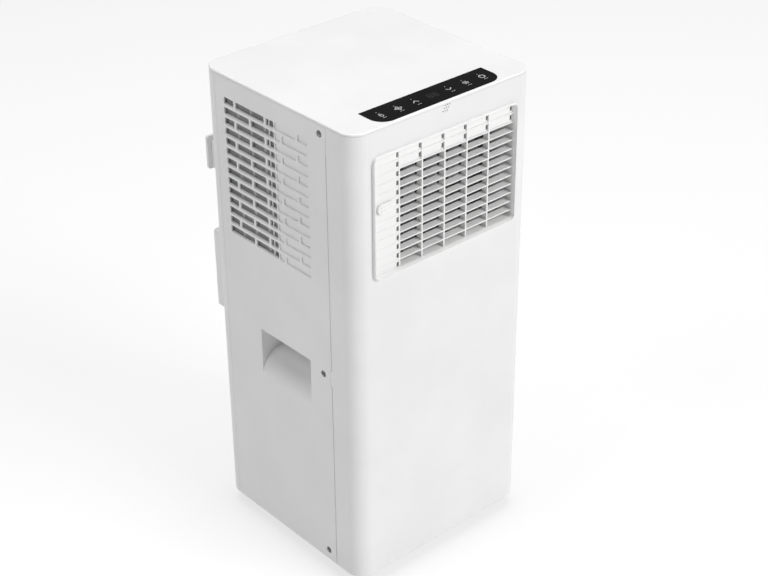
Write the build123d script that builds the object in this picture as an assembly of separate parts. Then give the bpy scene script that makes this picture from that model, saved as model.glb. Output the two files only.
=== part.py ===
"""Portable air conditioner: an upright case on four casters, with all of its working parts.

The origin is on the floor under the middle of the overall box. +Z is up, the front faces -Y
and +X is the right-hand side seen from the front. Lengths are in millimetres.
"""
from build123d import *
from math import atan2, cos, degrees, hypot, radians, sin
import os

os.makedirs("parts", exist_ok=True)

# ---- Case: overall sizes
body_width = 300
body_depth = 293
body_height = 660
floor_gap = 20              # floor to the case's lower edge
wall = 2.5                  # every moulded wall of the case
front_corner_r = 23
rear_corner_r = 27
lid_thick = 3
lid_edge_r = 1.8
joint_gap = 0.3             # between neighbouring mouldings
slip = 0.4                  # a piece that drops inside the walls
weld = 0.5                  # overlap that fuses two features of one moulding

# ---- Case: seams, screws
seam_front_back = 47.5      # front face to the seam on each side
seam_rear_back = 28.5       # rear face to the seam on each side
seam_groove = 1.4
seam_groove_deep = 0.7
seam_groove_end = 38        # the groove stops this far below the top
seam_jog = 3.5              # the seam steps back round the middle screw
seam_jog_tall = 24
screw_back_low = 64         # front face to the lower and middle screws
screw_back_top = 59
screw_rise_low = 15.5
screw_rise_middle = 304
screw_drop_top = 15
screw_head_r = 3.9
screw_head_tall = 2.2
screw_shank_r = 1.7
screw_length = 11
screw_play = 0.15
screw_sink_r = 4.8
screw_sink = 4
boss_wall = 2.2
boss_tall = 3
tab_tall = 13
tab_thick = 2.5
tab_reach = 9               # a tab goes this far past its screw

# ---- Side intake and handle
slot_rows = 14
slot_pitch = 14.04
slot_tall = 9
slot_top_drop = 30          # top of the case to the top row
slot_rear_back = 46.5       # rear face to the open end of the rows
slot_open_long = 100        # open stretch of each row
slot_full_long = 164.5      # open and blind stretches together
slot_blind_deep = 1.7
slot_draft = 1.3            # the lower edge of a slot slopes down by this much
slot_web = 1.6              # between the open and the blind stretch
slot_corner_r = 1.4
brick_pitch = 61.3
brick_web = 3.6
brick_first = 21.5          # open end of the row to the first web, odd rows
stiffener_at = 87
stiffener_thick = 2
stiffener_deep = 1.4
pocket_rear_back = 100      # rear face to the handle pocket
pocket_long = 103
pocket_drop = 348           # top of the case to the pocket's upper edge
pocket_deep = 45
lip_deep = 30               # rounded lower lip of the pocket
lip_tall = 35
pocket_opening = 72         # height of the mouth
filter_thick = 1.2
filter_margin = 6
filter_rim = 5

# ---- Front outlet
outlet_width = 239.4
outlet_tall = 166.4
outlet_drop = 36            # top of the case to the rim
outlet_corner_r = 9
rim_wide = 2.7
rim_proud = 5
rim_round = 1.2
grid_set_back = 1.5         # front of the grid behind the front face
slat_count = 12
slat_pitch = 12.5
slat_thick = 1.6
slat_deep = 10.5
rib_pitch = 37.4
rib_thick = 2.2
rib_deep = 9
sleeve_wall = 1.4
blind_rows = 2
blind_thick = 1.5
row_set_back = 1.6          # face of the closed rows behind the slats
column_set_back = 0.4
notch_wide = 3.4
notch_tall = 6.6
shelf_thick = 2.5
shelf_deep = 26             # bearing shelves behind the grid
vane_count = 5
vane_chord = 20
vane_thick = 2
vane_pin_r = 2
vane_pin_play = 0.07
vane_air = 1.2
vane_swing = 25             # degrees each way
crank_arm = 8
crank_pin_r = 1.5
crank_play = 0.18
link_tall = 3
link_wide = 9
link_arm = 6
tab_wide = 25
tab_inset = 18.5            # edge of the grid to the middle of the thumb tab
rim_draft = 1.3             # the rim's opening widens forwards by this much
tab_high = 8
tab_proud = 3

# ---- Top strip
strip_width = 202
strip_deep = 41.3
strip_back = 4.2
strip_thick = 1.5
strip_corner_r = 20
strip_rear_r = 1
strip_play = 0.25
window_margin = 7
lid_skirt = 5
lid_skirt_thick = 2
board_thick = 1.6
board_drop = 8
key_count = 7
key_pad_r = 4.5
display_width = 26
display_deep = 15
buzzer_r = 7
buzzer_tall = 6
sound_hole_r = 0.95
sound_hole_pitch = 3.6
sound_hole_drop = 8
sound_hole_rows = 3

# ---- Rear face
door_width = 224
door_tall = 168
door_drop = 40              # top of the case to the door's upper edge
door_thick = 8
door_set_back = 1
door_play = 0.8
door_pin_r = 1.8
door_pin_play = 0.07
door_pin_long = 5
door_open = 80              # degrees
door_slot_rows = 9
door_slot_columns = 3
lug_wall = 2.5
upper_filter_thick = 2.5
duct_rise = 347             # case's lower edge to the duct's axis
duct_inner_r = 62.5
duct_outer_r = 65.9
duct_play = 0.1
duct_proud = 45
seat_width = 264
seat_tall = 120
seat_proud = 20
seat_wall = 2.5
seat_corner_r = 4
seat_boss_r = 75
lug_count = 3
bayonet_reach = 3.3
bayonet_thick = 4.2
bayonet_play = 0.4
bayonet_arc = 16            # degrees
bayonet_turn = 30           # degrees
grip_r = 70
guard_bar = 3
hook_inset = 14             # side of the case to the hook's outer edge
hook_wide = 20
hook_tall = 47
hook_proud = 19.5
hook_flange = 4
hook_post_wide = 12
hook_post_tall = 35
hook_gusset = 9             # the post's lower edge slopes down to the wall by this much
hook_rise = 500
lower_grille_width = 230
lower_grille_tall = 204
lower_grille_rise = 38
lower_slot_rows = 10
lower_filter_thick = 2
gland_r = 8
gland_bore_r = 3.6
gland_flange_r = 11
gland_x = 95
gland_rise = 272
spout_r = 8
spout_bore_r = 6
spout_proud = 8
spout_low_x = -60
spout_high_x = 80
plug_wall = 2

# ---- Base and casters
pan_thick = 3
pan_rim = 32
front_caster_inset = 62     # side of the case to the swivel's axis
front_caster_back = 46      # front face to the swivel's axis
rear_caster_inset = 38
rear_caster_back = 36
wheel_r = 18
wheel_wide = 8
wheel_gap = 0.5
web_thick = 5
trail = 10
axle_r = 3
axle_play = 0.08
stem_r = 4
stem_play = 0.08
swivel_r = 12
well_r = 31
well_top = 43               # height of the well's ceiling above the floor
well_air = 0.6
hood_thick = 1.6
caster_headings = {"fl": 0, "fr": -90, "rl": 160, "rr": 60}

# ---- Cold compartment
deck_drop = 240             # top of the case to the drip deck
deck_thick = 3
deck_rim = 12
evaporator_back = 130       # front face to the evaporator
evaporator_deep = 22
evaporator_width = 224
evaporator_tall = 192
deck_rib = 8
fin_thick = 0.8
fin_gap = 6.5
end_plate_thick = 1.2
tube_r = 3.5
tube_hole_play = 0.05
evaporator_rows = 8
bend_clear = 2
cross_fan_back = 80
cross_fan_drop = 124
cross_fan_r = 40
cross_fan_blade = 8
cross_fan_blades = 22
cross_fan_long = 200
cross_fan_left = -104
cross_fan_disc = 1.6
cross_fan_discs = 5
blade_thick = 1.2
housing_plate = 2
housing_gap = 6
housing_wall = 2.2
shaft_r = 4
shaft_play = 0.06
upper_motor_r = 30
upper_motor_long = 32

# ---- Hot compartment
compressor_x = -25
compressor_back = 75
compressor_r = 48
compressor_tall = 192
compressor_low = 44         # shell's lowest point above the floor
dome_tall = 20
foot_r = 58
foot_thick = 2.5
foot_wide = 22
pad_tall = 5
grommet_r = 9
grommet_tall = 13
grommet_groove = 1.6
stud_r = 3
nut_r = 5.5
nut_tall = 5
accumulator_r = 22
accumulator_tall = 120
accumulator_rise = 98
accumulator_gap = 6
condenser_back = 238
condenser_deep = 24
condenser_width = 236
condenser_tall = 230
condenser_low = 52          # above the floor
condenser_rows = 9
scroll_back = 176
scroll_deep = 56
scroll_wall = 2
scroll_rise = 158           # case's lower edge to the fan's axis
scroll_start_r = 78
scroll_end_r = 98
scroll_neck_left = 30
inlet_r = 60
radial_fan_r = 72
radial_fan_inner_r = 60
radial_fan_wide = 42
radial_fan_blades = 28
radial_fan_gap = 4
hub_r = 10
lower_motor_r = 38
lower_motor_long = 40
lower_motor_gap = 8
motor_post_in = 12          # edge of the can to a post's axis
motor_post_r = 4
elbow_low = 300             # above the floor
elbow_left = -72
elbow_tall = 134
duct_seal = 1
splash_x = 45
splash_height = 60          # axis above the floor
splash_r = 26
splash_thick = 5
splash_vanes = 12
splash_motor_r = 15
splash_motor_long = 30
float_x = 20
float_back = 150
float_r = 9
float_tall = 12
float_stem_r = 3
float_play = 0.1
float_travel = 12
pipe_r = 4
pipe_bend_r = 14
capillary_r = 1.5
capillary_bend_r = 9
coil_turns = 3
coil_half = 22
coil_step = 5
drier_r = 9
drier_tall = 60

# ---- Electrical box
box_left = 84
box_right = 139
box_back_front = 74
box_back_rear = 160
box_low = 70
box_top = 236
box_wall = 2
box_lid_thick = 2
main_board_thick = 1.6
main_board_stand = 8
capacitor_r = 17
capacitor_long = 62

# ---- Places that follow from the sizes above
depth_overall = rim_proud + body_depth + duct_proud
front = -depth_overall / 2 + rim_proud
rear = front + body_depth
side = body_width / 2
body_low = floor_gap
body_top = floor_gap + body_height
lid_low = body_top - lid_thick
shell_top = lid_low - joint_gap
inner_side = side - wall
inner_front = front + wall
inner_rear = rear - wall
seam_front = front + seam_front_back
seam_rear = rear - seam_rear_back
far = body_width + body_depth      # larger than any piece, for half-space cuts
screw_spots = [
    (front + screw_back_low, body_low + screw_rise_low),
    (front + screw_back_low, body_low + screw_rise_middle),
    (front + screw_back_top, body_top - screw_drop_top),
]
tab_out = inner_side - boss_tall - joint_gap
deck_z = body_top - deck_drop
duct_z = body_low + duct_rise
outlet_top = body_top - outlet_drop
outlet_low = outlet_top - outlet_tall
grid_front = front + grid_set_back
grid_half = outlet_width / 2 - rim_wide
grid_top = outlet_top - rim_wide
grid_low = outlet_low + rim_wide
slat_first = grid_top - slat_pitch - slat_thick / 2
open_top = slat_first - (blind_rows - 1) * slat_pitch
rib_first = -2 * rib_pitch
shelf_y = (grid_front + slat_deep, grid_front + slat_deep + shelf_deep)
vane_y = sum(shelf_y) / 2
vane_x = [rib_first + (index + 0.5) * rib_pitch for index in range(vane_count)]
rail_low = open_top + slat_thick
vane_top = rail_low - link_tall - 2 * vane_air
vane_low = grid_low + vane_air
link_travel = crank_arm * sin(radians(vane_swing))
tab_z = slat_first - 4.5 * slat_pitch
tab_x = -grid_half + tab_inset
door_hinge_z = body_top - door_drop - door_tall + door_thick / 2
door_hinge_y = rear - door_set_back - door_thick / 2
wheel_hub_z = wheel_r
compressor_y = front + compressor_back
accumulator_x = compressor_x + compressor_r + accumulator_gap + accumulator_r
cross_fan_y = front + cross_fan_back
cross_fan_z = body_top - cross_fan_drop
scroll_y = front + scroll_back
scroll_z = body_low + scroll_rise
splash_y = scroll_y + scroll_deep - splash_thick - joint_gap - scroll_wall
evaporator_low = deck_z + deck_thick + deck_rib
cold = (evaporator_width, evaporator_low, evaporator_tall, evaporator_back, evaporator_deep, evaporator_rows)
hot = (condenser_width, condenser_low, condenser_tall, condenser_back, condenser_deep, condenser_rows)


# ---- Shapes used throughout

def block(x, y, z):
    """Box between a low and a high value on each axis."""
    middle = Pos(sum(x) / 2, sum(y) / 2, sum(z) / 2)
    return middle * Box(x[1] - x[0], y[1] - y[0], z[1] - z[0])


def rod(axis, start, radius, length):
    """Cylinder that starts at a point and runs along +X, +Y or +Z."""
    turn = {"x": Rot(0, 90, 0), "y": Rot(-90, 0, 0), "z": Rot(0, 0, 0)}[axis]
    low = (Align.CENTER, Align.CENTER, Align.MIN)
    return Pos(*start) * turn * Cylinder(radius, length, align=low)


def pipe(axis, start, outer, inner, length):
    """Round tube that starts at a point and runs along an axis."""
    return rod(axis, start, outer, length) - rod(axis, start, inner, length)


def rounded_y(x, y, z, radius):
    """Block whose four edges along Y are rounded."""
    shape = block(x, y, z)
    return fillet(shape.edges().filter_by(Axis.Y), radius)


def both_sides(shape):
    """The shape and its copy across the middle plane."""
    return [shape, mirror(shape, about=Plane.YZ)]


def footprint(inset, low, high):
    """Solid with the case's rounded outline, drawn in by a distance."""
    face = Pos(0, (front + rear) / 2) * Rectangle(body_width - 2 * inset, body_depth - 2 * inset)
    corners = face.vertices().sort_by(Axis.Y)
    face = fillet(corners[:2], front_corner_r - inset)
    corners = face.vertices().sort_by(Axis.Y)
    face = fillet(corners[-2:], rear_corner_r - inset)
    return Pos(0, 0, low) * extrude(face, high - low)


def path_pipe(points, radius, bend):
    """Round bar along straight runs joined by arcs."""
    path = FilletPolyline(*points, radius=bend)
    start = Plane(origin=path @ 0, z_dir=path % 0)
    return sweep(start * Circle(radius), path)


def save(name, *pieces):
    """Write one node, whose solids stay separate."""
    solids = [solid for piece in pieces for solid in piece.solids()]
    export_step(solids[0] if len(solids) == 1 else Compound(solids), f"parts/{name}.step")


# ---- Case mouldings

def case_ring():
    """Upright wall of the whole case, before it is divided."""
    return footprint(0, body_low, shell_top) - footprint(wall, body_low, shell_top)


def seam_grooves():
    """Shadow groove along the front seam, which skips the step round the middle screw."""
    jog_z = screw_spots[1][1]
    spans = [
        (body_low + seam_groove_deep * 5, jog_z - seam_jog_tall / 2),
        (jog_z + seam_jog_tall / 2, body_top - seam_groove_end),
    ]
    y = (seam_front - seam_groove / 2, seam_front + seam_groove / 2)
    return [block((side - seam_groove_deep, side + wall), y, span) for span in spans]


def screw_tab(y, z):
    """Tab of the front shell that a side panel is screwed to."""
    height = (z - tab_tall / 2, z + tab_tall / 2)
    root_y = (seam_front - 5 * joint_gap - wall * 2, seam_front - 5 * joint_gap)
    root = block((tab_out - tab_thick, inner_side + weld), root_y, height)
    tongue = block((tab_out - tab_thick, tab_out), (seam_front - wall * 2, y + tab_reach), height)
    hole = rod("x", (tab_out - tab_thick * 2, y, z), screw_shank_r + screw_play / 3, tab_thick * 3)
    return root + tongue - hole


def rear_tab(z):
    """Tab of the rear shell that a side panel's rear edge hooks over."""
    height = (z - tab_tall / 2, z + tab_tall / 2)
    x = (inner_side - joint_gap - tab_thick, inner_side - joint_gap)
    tongue = block(x, (seam_rear - tab_reach, seam_rear + tab_reach), height)
    root = block((x[0], inner_side + weld), (seam_rear + joint_gap * 2, seam_rear + tab_reach), height)
    return tongue + root


def sound_holes():
    """Slanted cluster of small holes above the outlet."""
    z = body_top - sound_hole_drop
    holes = []
    for row in range(sound_hole_rows):
        for column in range(sound_hole_rows):
            x = (column - 1) * sound_hole_pitch + (row - 1) * sound_hole_pitch / 2
            spot = (x, front - wall, z + (row - 1) * sound_hole_pitch)
            holes.append(rod("y", spot, sound_hole_r, wall * 3))
    return holes


def front_shell():
    """Front face, both front corners and the first stretch of each side."""
    jog_z = screw_spots[1][1]
    jog = (jog_z - seam_jog_tall / 2 + joint_gap, jog_z + seam_jog_tall / 2 - joint_gap)
    zone = block((-far, far), (front - wall, seam_front - joint_gap / 2), (0, far * 2))
    zone += block((-far, far), (seam_front - wall, seam_front + seam_jog - joint_gap), jog)
    shell = case_ring() & zone
    for y, z in screw_spots:
        shell += both_sides(screw_tab(y, z))
    ledge = (deck_z - wall, deck_z)
    shell += block((-side / 2, side / 2), (front + wall - weld, inner_front + wall * 2), ledge)
    opening = rounded_y((-grid_half - sleeve_wall - joint_gap, grid_half + sleeve_wall + joint_gap),
                        (front - wall, front + 2 * wall),
                        (grid_low - sleeve_wall - joint_gap, grid_top + sleeve_wall + joint_gap),
                        outlet_corner_r - rim_wide)
    shell -= [opening] + sound_holes()
    for groove in seam_grooves():
        shell -= both_sides(groove)
    return shell


def slot_spans(row):
    """Stretches of one row between its webs, as distances from the row's open end."""
    shift = brick_first if row % 2 == 0 else brick_first + brick_pitch / 2
    webs = [shift + step * brick_pitch for step in range(-1, 4)]
    edges = [0]
    for web in webs:
        if brick_web < web < slot_full_long - brick_web:
            edges += [web - brick_web / 2, web + brick_web / 2]
    edges.append(slot_full_long)
    return list(zip(edges[::2], edges[1::2]))


def slot_cutters():
    """Open slots and shallow blind ones, laid like bricks, in the left side."""
    open_end = rear - slot_rear_back
    cutters = []
    for row in range(slot_rows):
        top = body_top - slot_top_drop - row * slot_pitch
        z = (top - slot_tall, top)
        for low, high in slot_spans(row):
            if low < slot_open_long - slot_web:
                y = (open_end - min(high, slot_open_long), open_end - low)
                cutters.append(slot_block((-side - wall, -inner_side + wall), y, z))
                cutters.append(slot_slope(wall - joint_gap, y, z[0]))
            if high > slot_open_long + slot_web:
                y = (open_end - high, open_end - max(low, slot_open_long + slot_web))
                cutters.append(slot_block((-side - wall, -side + slot_blind_deep), y, z))
                cutters.append(slot_slope(slot_blind_deep, y, z[0]))
    return cutters


def slot_slope(deep, y, low):
    """Wedge that slopes a slot's lower edge outwards, clear of the rounded corners."""
    trim = min(slot_corner_r, (y[1] - y[0]) / 4)
    corners = [(-side - weld, low + weld), (-side + deep, low + weld), (-side + deep, low),
               (-side, low - slot_draft), (-side - weld, low - slot_draft)]
    face = make_face(Polyline(*corners, close=True).edges())
    return Pos(0, y[1] - trim, 0) * extrude(Plane.XZ * face, y[1] - y[0] - 2 * trim)


def slot_block(x, y, z):
    """Block whose edges along X are rounded."""
    shape = block(x, y, z)
    return fillet(shape.edges().filter_by(Axis.X), min(slot_corner_r, (y[1] - y[0]) / 2.5))


def pocket_profile(grow):
    """Section of the handle pocket: a rounded lip, a flat floor and a square upper edge."""
    top = body_top - pocket_drop + grow
    low = body_top - pocket_drop - pocket_opening
    ledge = low + lip_tall - grow
    mouth = -side - wall
    lip = -side + lip_deep
    back = -side + pocket_deep + grow
    with BuildLine() as outline:
        Line((mouth, low), (-side + grow, low))
        EllipticalCenterArc((lip, low), lip_deep - grow, lip_tall - grow, start_angle=90, arc_size=90)
        Polyline((lip, ledge), (back, ledge), (back, top), (mouth, top), (mouth, low))
    return make_face(outline.edges())


def pocket_solid(grow):
    """Handle pocket as a solid, grown on all sides by a distance."""
    rear_end = rear - pocket_rear_back + grow
    face = Plane.XZ * pocket_profile(grow)
    return Pos(0, rear_end, 0) * extrude(face, pocket_long + 2 * grow)


def side_panel():
    """Left side panel, with its intake slots, handle pocket, screw bosses and stiffener."""
    jog_z = screw_spots[1][1]
    jog = (jog_z - seam_jog_tall / 2, jog_z + seam_jog_tall / 2)
    zone = block((-far, 0), (seam_front + joint_gap / 2, seam_rear - joint_gap / 2), (0, far * 2))
    zone -= block((-far, 0), (front, seam_front + seam_jog), jog)
    panel = case_ring() & zone
    inside = block((-side + weld, 0), (seam_front + wall, seam_rear - wall), (body_low, shell_top))
    panel += pocket_solid(wall) & inside
    panel -= pocket_solid(0)
    open_end = rear - slot_rear_back
    rows_z = (body_top - slot_top_drop - (slot_rows - 1) * slot_pitch - slot_tall - wall,
              body_top - slot_top_drop + wall)
    panel -= slot_cutters()
    panel += block((-inner_side, -inner_side + stiffener_deep),
                   (open_end - stiffener_at - stiffener_thick, open_end - stiffener_at), rows_z)
    for y, z in screw_spots:
        panel += rod("x", (-inner_side - weld, y, z), screw_sink_r + boss_wall, boss_tall + weld)
        panel -= rod("x", (-side - wall, y, z), screw_sink_r, wall + screw_sink)
        panel -= rod("x", (-side - wall, y, z), screw_shank_r + screw_play, 4 * wall)
    for groove in seam_grooves():
        panel -= mirror(groove, about=Plane.YZ)
    return panel


def side_filter():
    """Framed dust net behind the open slots of the left side."""
    open_end = rear - slot_rear_back
    top = body_top - slot_top_drop
    low = top - (slot_rows - 1) * slot_pitch - slot_tall
    x_low = -inner_side + stiffener_deep + slip / 2
    y = (open_end - slot_open_long - filter_margin, open_end + filter_margin)
    z = (low - filter_margin, top + filter_margin)
    sheet = block((x_low, x_low + filter_thick), y, z)
    return sheet - net_windows("x", y, z, x_low, filter_thick, 4, 7)


def net_windows(axis, a, z, at, thick, columns, rows):
    """Rows and columns of windows that leave a filter's frame and cross bars."""
    wide = (a[1] - a[0] - filter_rim) / columns
    tall = (z[1] - z[0] - filter_rim) / rows
    windows = []
    for column in range(columns):
        for row in range(rows):
            span = (a[0] + filter_rim + column * wide, a[0] + (column + 1) * wide)
            height = (z[0] + filter_rim + row * tall, z[0] + (row + 1) * tall)
            through = (at - thick, at + 2 * thick)
            windows.append(block(through, span, height) if axis == "x" else block(span, through, height))
    return windows


def top_cover():
    """Flat lid with a rounded upper edge, a locating skirt and the strip's pocket."""
    plate = footprint(0, lid_low, body_top)
    rim_edges = plate.faces().sort_by(Axis.Z)[-1].edges()
    plate = fillet(rim_edges, lid_edge_r)
    skirt_out = wall + slip
    skirt = footprint(skirt_out, lid_low - lid_skirt, lid_low + weld)
    skirt -= footprint(skirt_out + lid_skirt_thick, lid_low - lid_skirt, lid_low + weld)
    gap = block((-strip_width / 4, strip_width / 4), (front, front + 4 * wall), (lid_low - lid_skirt, lid_low))
    margin = window_margin
    window = block((-strip_width / 2 + margin * 2, strip_width / 2 - margin * 2),
                   (front + strip_back + margin, front + strip_back + strip_deep - margin),
                   (lid_low - lid_skirt, body_top))
    cover = plate + (skirt - gap) - strip(strip_play, strip_thick + joint_gap, lid_thick) - window
    for x in (-1, 1):
        post = rod("z", (x * (strip_width / 2 - margin), board_post_y(), board_top()), 3, lid_low - board_top() + weld)
        cover += post
    return cover


def board_post_y():
    """Depth of the two posts that the control board hangs from."""
    return front + strip_back + strip_deep / 2


def board_top():
    """Upper face of the control board."""
    return lid_low - board_drop + board_thick


def strip(grow, thick, above):
    """Control strip's outline as a solid, with large front corners."""
    half = strip_width / 2 + grow
    centre_y = front + strip_back + strip_deep / 2
    face = Pos(0, centre_y) * Rectangle(2 * half, strip_deep + 2 * grow)
    face = fillet(face.vertices().sort_by(Axis.Y)[:2], strip_corner_r + grow)
    face = fillet(face.vertices().sort_by(Axis.Y)[-2:], strip_rear_r)
    return Pos(0, 0, body_top - thick) * extrude(face, above)


def control_board():
    """Board under the strip, with touch pads, a display block and a buzzer."""
    y = board_post_y()
    top = board_top()
    board = block((-strip_width / 2 + 2, strip_width / 2 - 2), (y - 15, y + 15), (top - board_thick, top))
    spacing = (strip_width - 4 * window_margin - 2 * key_pad_r - 2) / (key_count - 1)
    pad_tall = lid_low - top + 1
    pads = []
    for index in range(key_count):
        x = (index - (key_count - 1) / 2) * spacing
        if index != key_count // 2:
            pads.append(rod("z", (x, y, top), key_pad_r, pad_tall))
    display = block((-display_width / 2, display_width / 2), (y - display_deep / 2, y + display_deep / 2),
                    (top, top + pad_tall))
    buzzer = rod("z", (0, y - 6, top - board_thick - buzzer_tall), buzzer_r, buzzer_tall)
    plug = block((30, 46), (y - 5, y + 5), (top - board_thick - 7, top - board_thick))
    return [board, display, buzzer, plug] + pads


# ---- Front outlet

def outlet_grille():
    """Proud rim with an egg-crate grid, blind cells and the vanes' bearing shelves."""
    half = outlet_width / 2
    flange = rounded_y((-half, half), (front - rim_proud, front), (outlet_low, outlet_top), outlet_corner_r)
    front_face = flange.faces().sort_by(Axis.Y)[0]
    flange = fillet(front_face.edges(), rim_round)
    sleeve_x = (-grid_half - sleeve_wall, grid_half + sleeve_wall)
    sleeve_z = (grid_low - sleeve_wall, grid_top + sleeve_wall)
    radius = outlet_corner_r - rim_wide
    flange += rounded_y(sleeve_x, (front - weld, shelf_y[0]), sleeve_z, radius)
    grille = flange - rounded_y((-grid_half, grid_half), (front - far, shelf_y[0] + wall),
                                (grid_low, grid_top), radius - sleeve_wall)
    grow = rim_draft * (1 + weld / rim_proud)
    opening = Rectangle(2 * (grid_half + grow), grid_top - grid_low + 2 * grow)
    opening = fillet(opening.vertices(), radius)
    opening = extrude(opening, rim_proud + weld, taper=degrees(atan2(rim_draft, rim_proud)))
    grille -= Pos(0, front - rim_proud - weld, (grid_low + grid_top) / 2) * Rot(-90, 0, 0) * opening
    for index in range(slat_count):
        z = slat_first - index * slat_pitch
        grille += block((-grid_half - weld, grid_half + weld), (grid_front, grid_front + slat_deep),
                        (z - slat_thick / 2, z + slat_thick / 2))
    for index in range(vane_count):
        x = rib_first + index * rib_pitch
        grille += block((x - rib_thick / 2, x + rib_thick / 2), (grid_front, grid_front + rib_deep),
                        (grid_low - weld, grid_top + weld))
    grille += blind_plates()
    grille += bearing_shelves()
    spot = (tab_x, grid_front - rim_proud, tab_z)
    slot_half = link_arm / 2 + link_travel + joint_gap * 2
    grille -= block((spot[0] - slot_half, spot[0] + slot_half), (grid_front - wall, shelf_y[0] + wall),
                    (tab_z - tab_high / 2 - joint_gap, tab_z + tab_high / 2 + joint_gap))
    for x in vane_x:
        for z in (grid_low - shelf_thick * 2, rail_low - shelf_thick):
            grille -= rod("z", (x, vane_y, z), vane_pin_r + vane_pin_play, 3 * shelf_thick)
    return grille


def blind_plates():
    """Closed cells: the left column and the two top rows, each with a notch at its right end."""
    y = (grid_front + column_set_back, grid_front + column_set_back + blind_thick)
    corner_r = outlet_corner_r - rim_wide - sleeve_wall + weld
    column = rounded_y((-grid_half - weld, grid_half), y, (grid_low - weld, grid_top + weld), corner_r)
    column -= block((rib_first, far), y, (grid_low - wall, grid_top + wall))
    y = (grid_front + row_set_back, grid_front + row_set_back + blind_thick)
    rows = block((rib_first - rib_thick / 3, grid_half + weld), y, (open_top, grid_top + weld))
    plate = column + rows
    rib_x = [rib_first + index * rib_pitch for index in range(vane_count)] + [grid_half]
    through = (grid_front, grid_front + slat_deep)
    notches = []
    for row in range(slat_count + 1):
        z = slat_first + slat_pitch / 2 - row * slat_pitch
        ends = rib_x if row < blind_rows else rib_x[:1]
        for x in ends:
            right = x - rib_thick / 2
            notches.append(block((right - notch_wide, right), through, (z - notch_tall / 2, z + notch_tall / 2)))
    return plate - notches


def bearing_shelves():
    """Lower shelf and upper rail that carry the vanes' pins."""
    x = (rib_first - rib_thick, grid_half + sleeve_wall)
    y = (shelf_y[0] - weld, shelf_y[1])
    lower = block(x, y, (grid_low - shelf_thick, grid_low))
    rail = block(x, y, (rail_low, rail_low + shelf_thick))
    cheek = block((grid_half, grid_half + sleeve_wall), y, (grid_low - shelf_thick, rail_low + shelf_thick))
    step = block((x[0], x[1]), (shelf_y[0] - weld * 2, shelf_y[0] + wall), (open_top, rail_low + shelf_thick))
    return lower + rail + cheek + step


def louvre_vane(x):
    """Upright vane with its two pivot pins and the crank pin on its upper edge."""
    blade = block((x - vane_thick / 2, x + vane_thick / 2), (vane_y - vane_chord / 2, vane_y + vane_chord / 2),
                  (vane_low, vane_top))
    blade = fillet(blade.edges().filter_by(Axis.Z), vane_thick / 2.2)
    lower = rod("z", (x, vane_y, grid_low - shelf_thick), vane_pin_r, vane_low - grid_low + shelf_thick + weld)
    upper = rod("z", (x, vane_y, vane_top - weld), vane_pin_r, rail_low + shelf_thick - vane_top + weld)
    collar = rod("z", (x, vane_y, vane_low), vane_pin_r + weld, vane_top - vane_low)
    crank = rod("z", (x, vane_y + crank_arm, vane_top - weld), crank_pin_r, link_tall + vane_air + 2 * weld)
    return blade + lower + upper + collar + crank


def louvre_link():
    """Bar with a slot for each crank pin, and the thumb tab at the front of its arm."""
    z = (vane_top + vane_air / 2, vane_top + vane_air / 2 + link_tall)
    y = (vane_y + crank_arm - link_wide / 2, vane_y + crank_arm + link_wide / 2)
    bar = block((tab_x - link_arm / 2, vane_x[-1] + link_wide), y, z)
    rise = crank_arm * (1 - cos(radians(vane_swing)))
    for x in vane_x:
        pin = (x, vane_y + crank_arm - rise / 2)
        slot = SlotCenterToCenter(rise + 2 * crank_play, 2 * (crank_pin_r + crank_play))
        bar -= Pos(pin[0], pin[1], z[0] - link_tall) * extrude(Rot(0, 0, 90) * slot, 3 * link_tall)
        bar -= rod("z", (x, vane_y, z[0] - link_tall), vane_pin_r + link_travel, 3 * link_tall)
    half = tab_high / 2
    drop = block((tab_x - link_arm / 2, tab_x + link_arm / 2), (y[1] - link_tall, y[1]), (tab_z - half, z[1]))
    arm = block((tab_x - link_arm / 2, tab_x + link_arm / 2), (grid_front - joint_gap * 2, y[1]),
                (tab_z - half, tab_z + half))
    pad = rounded_y((tab_x - tab_wide / 2, tab_x + tab_wide / 2),
                    (grid_front - joint_gap - tab_proud, grid_front - joint_gap),
                    (tab_z - tab_high * 0.8, tab_z + tab_high * 0.8), tab_high * 0.7)
    for step in (-1, 1):
        ridge_z = tab_z + step * tab_high / 3
        pad += rod("x", (tab_x - tab_wide / 3, grid_front - joint_gap - tab_proud, ridge_z), 1, tab_wide / 1.5)
    return bar + drop + arm + pad


# ---- Rear face

def rear_openings():
    """Everything that passes through the rear wall."""
    through = (rear - 2 * wall, rear + wall)
    door_half = door_width / 2 + door_play
    door_z = (door_hinge_z - door_thick / 2 - door_play, body_top - door_drop + door_play)
    grille_half = lower_grille_width / 2 + joint_gap
    grille_low = body_low + lower_grille_rise
    cuts = [
        block((-door_half, door_half), through, door_z),
        block((-grille_half, grille_half), through, (grille_low - joint_gap,
              grille_low + lower_grille_tall + joint_gap)),
        rod("y", (0, through[0], duct_z), duct_inner_r + seat_wall / 2, 3 * wall),
        rod("y", (gland_x, through[0], body_low + gland_rise), gland_r + joint_gap, 3 * wall),
    ]
    for x, z in spout_spots():
        cuts.append(rod("y", (x, through[0], z), spout_r + joint_gap, 3 * wall))
    for x, z in rear_screws():
        cuts.append(rod("y", (x, through[0], z), screw_shank_r + screw_play, 3 * wall))
        cuts.append(rod("y", (x, rear - wall / 2, z), screw_head_r + screw_play, wall))
    return cuts


def spout_spots():
    """Drain spouts: the pan's at the bottom, the deck's half-way up."""
    return [(spout_low_x, body_low + spout_r + 4), (spout_high_x, deck_z + deck_thick + spout_bore_r)]


def rear_screws():
    """Screws through the rear face into the base pan and the deck."""
    low_z = body_low + pan_rim / 2 + 2
    high_z = deck_z + deck_thick + spout_bore_r
    reach = body_width / 3
    return [(-reach, low_z), (reach, low_z), (-reach, high_z), (reach, high_z)]


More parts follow.
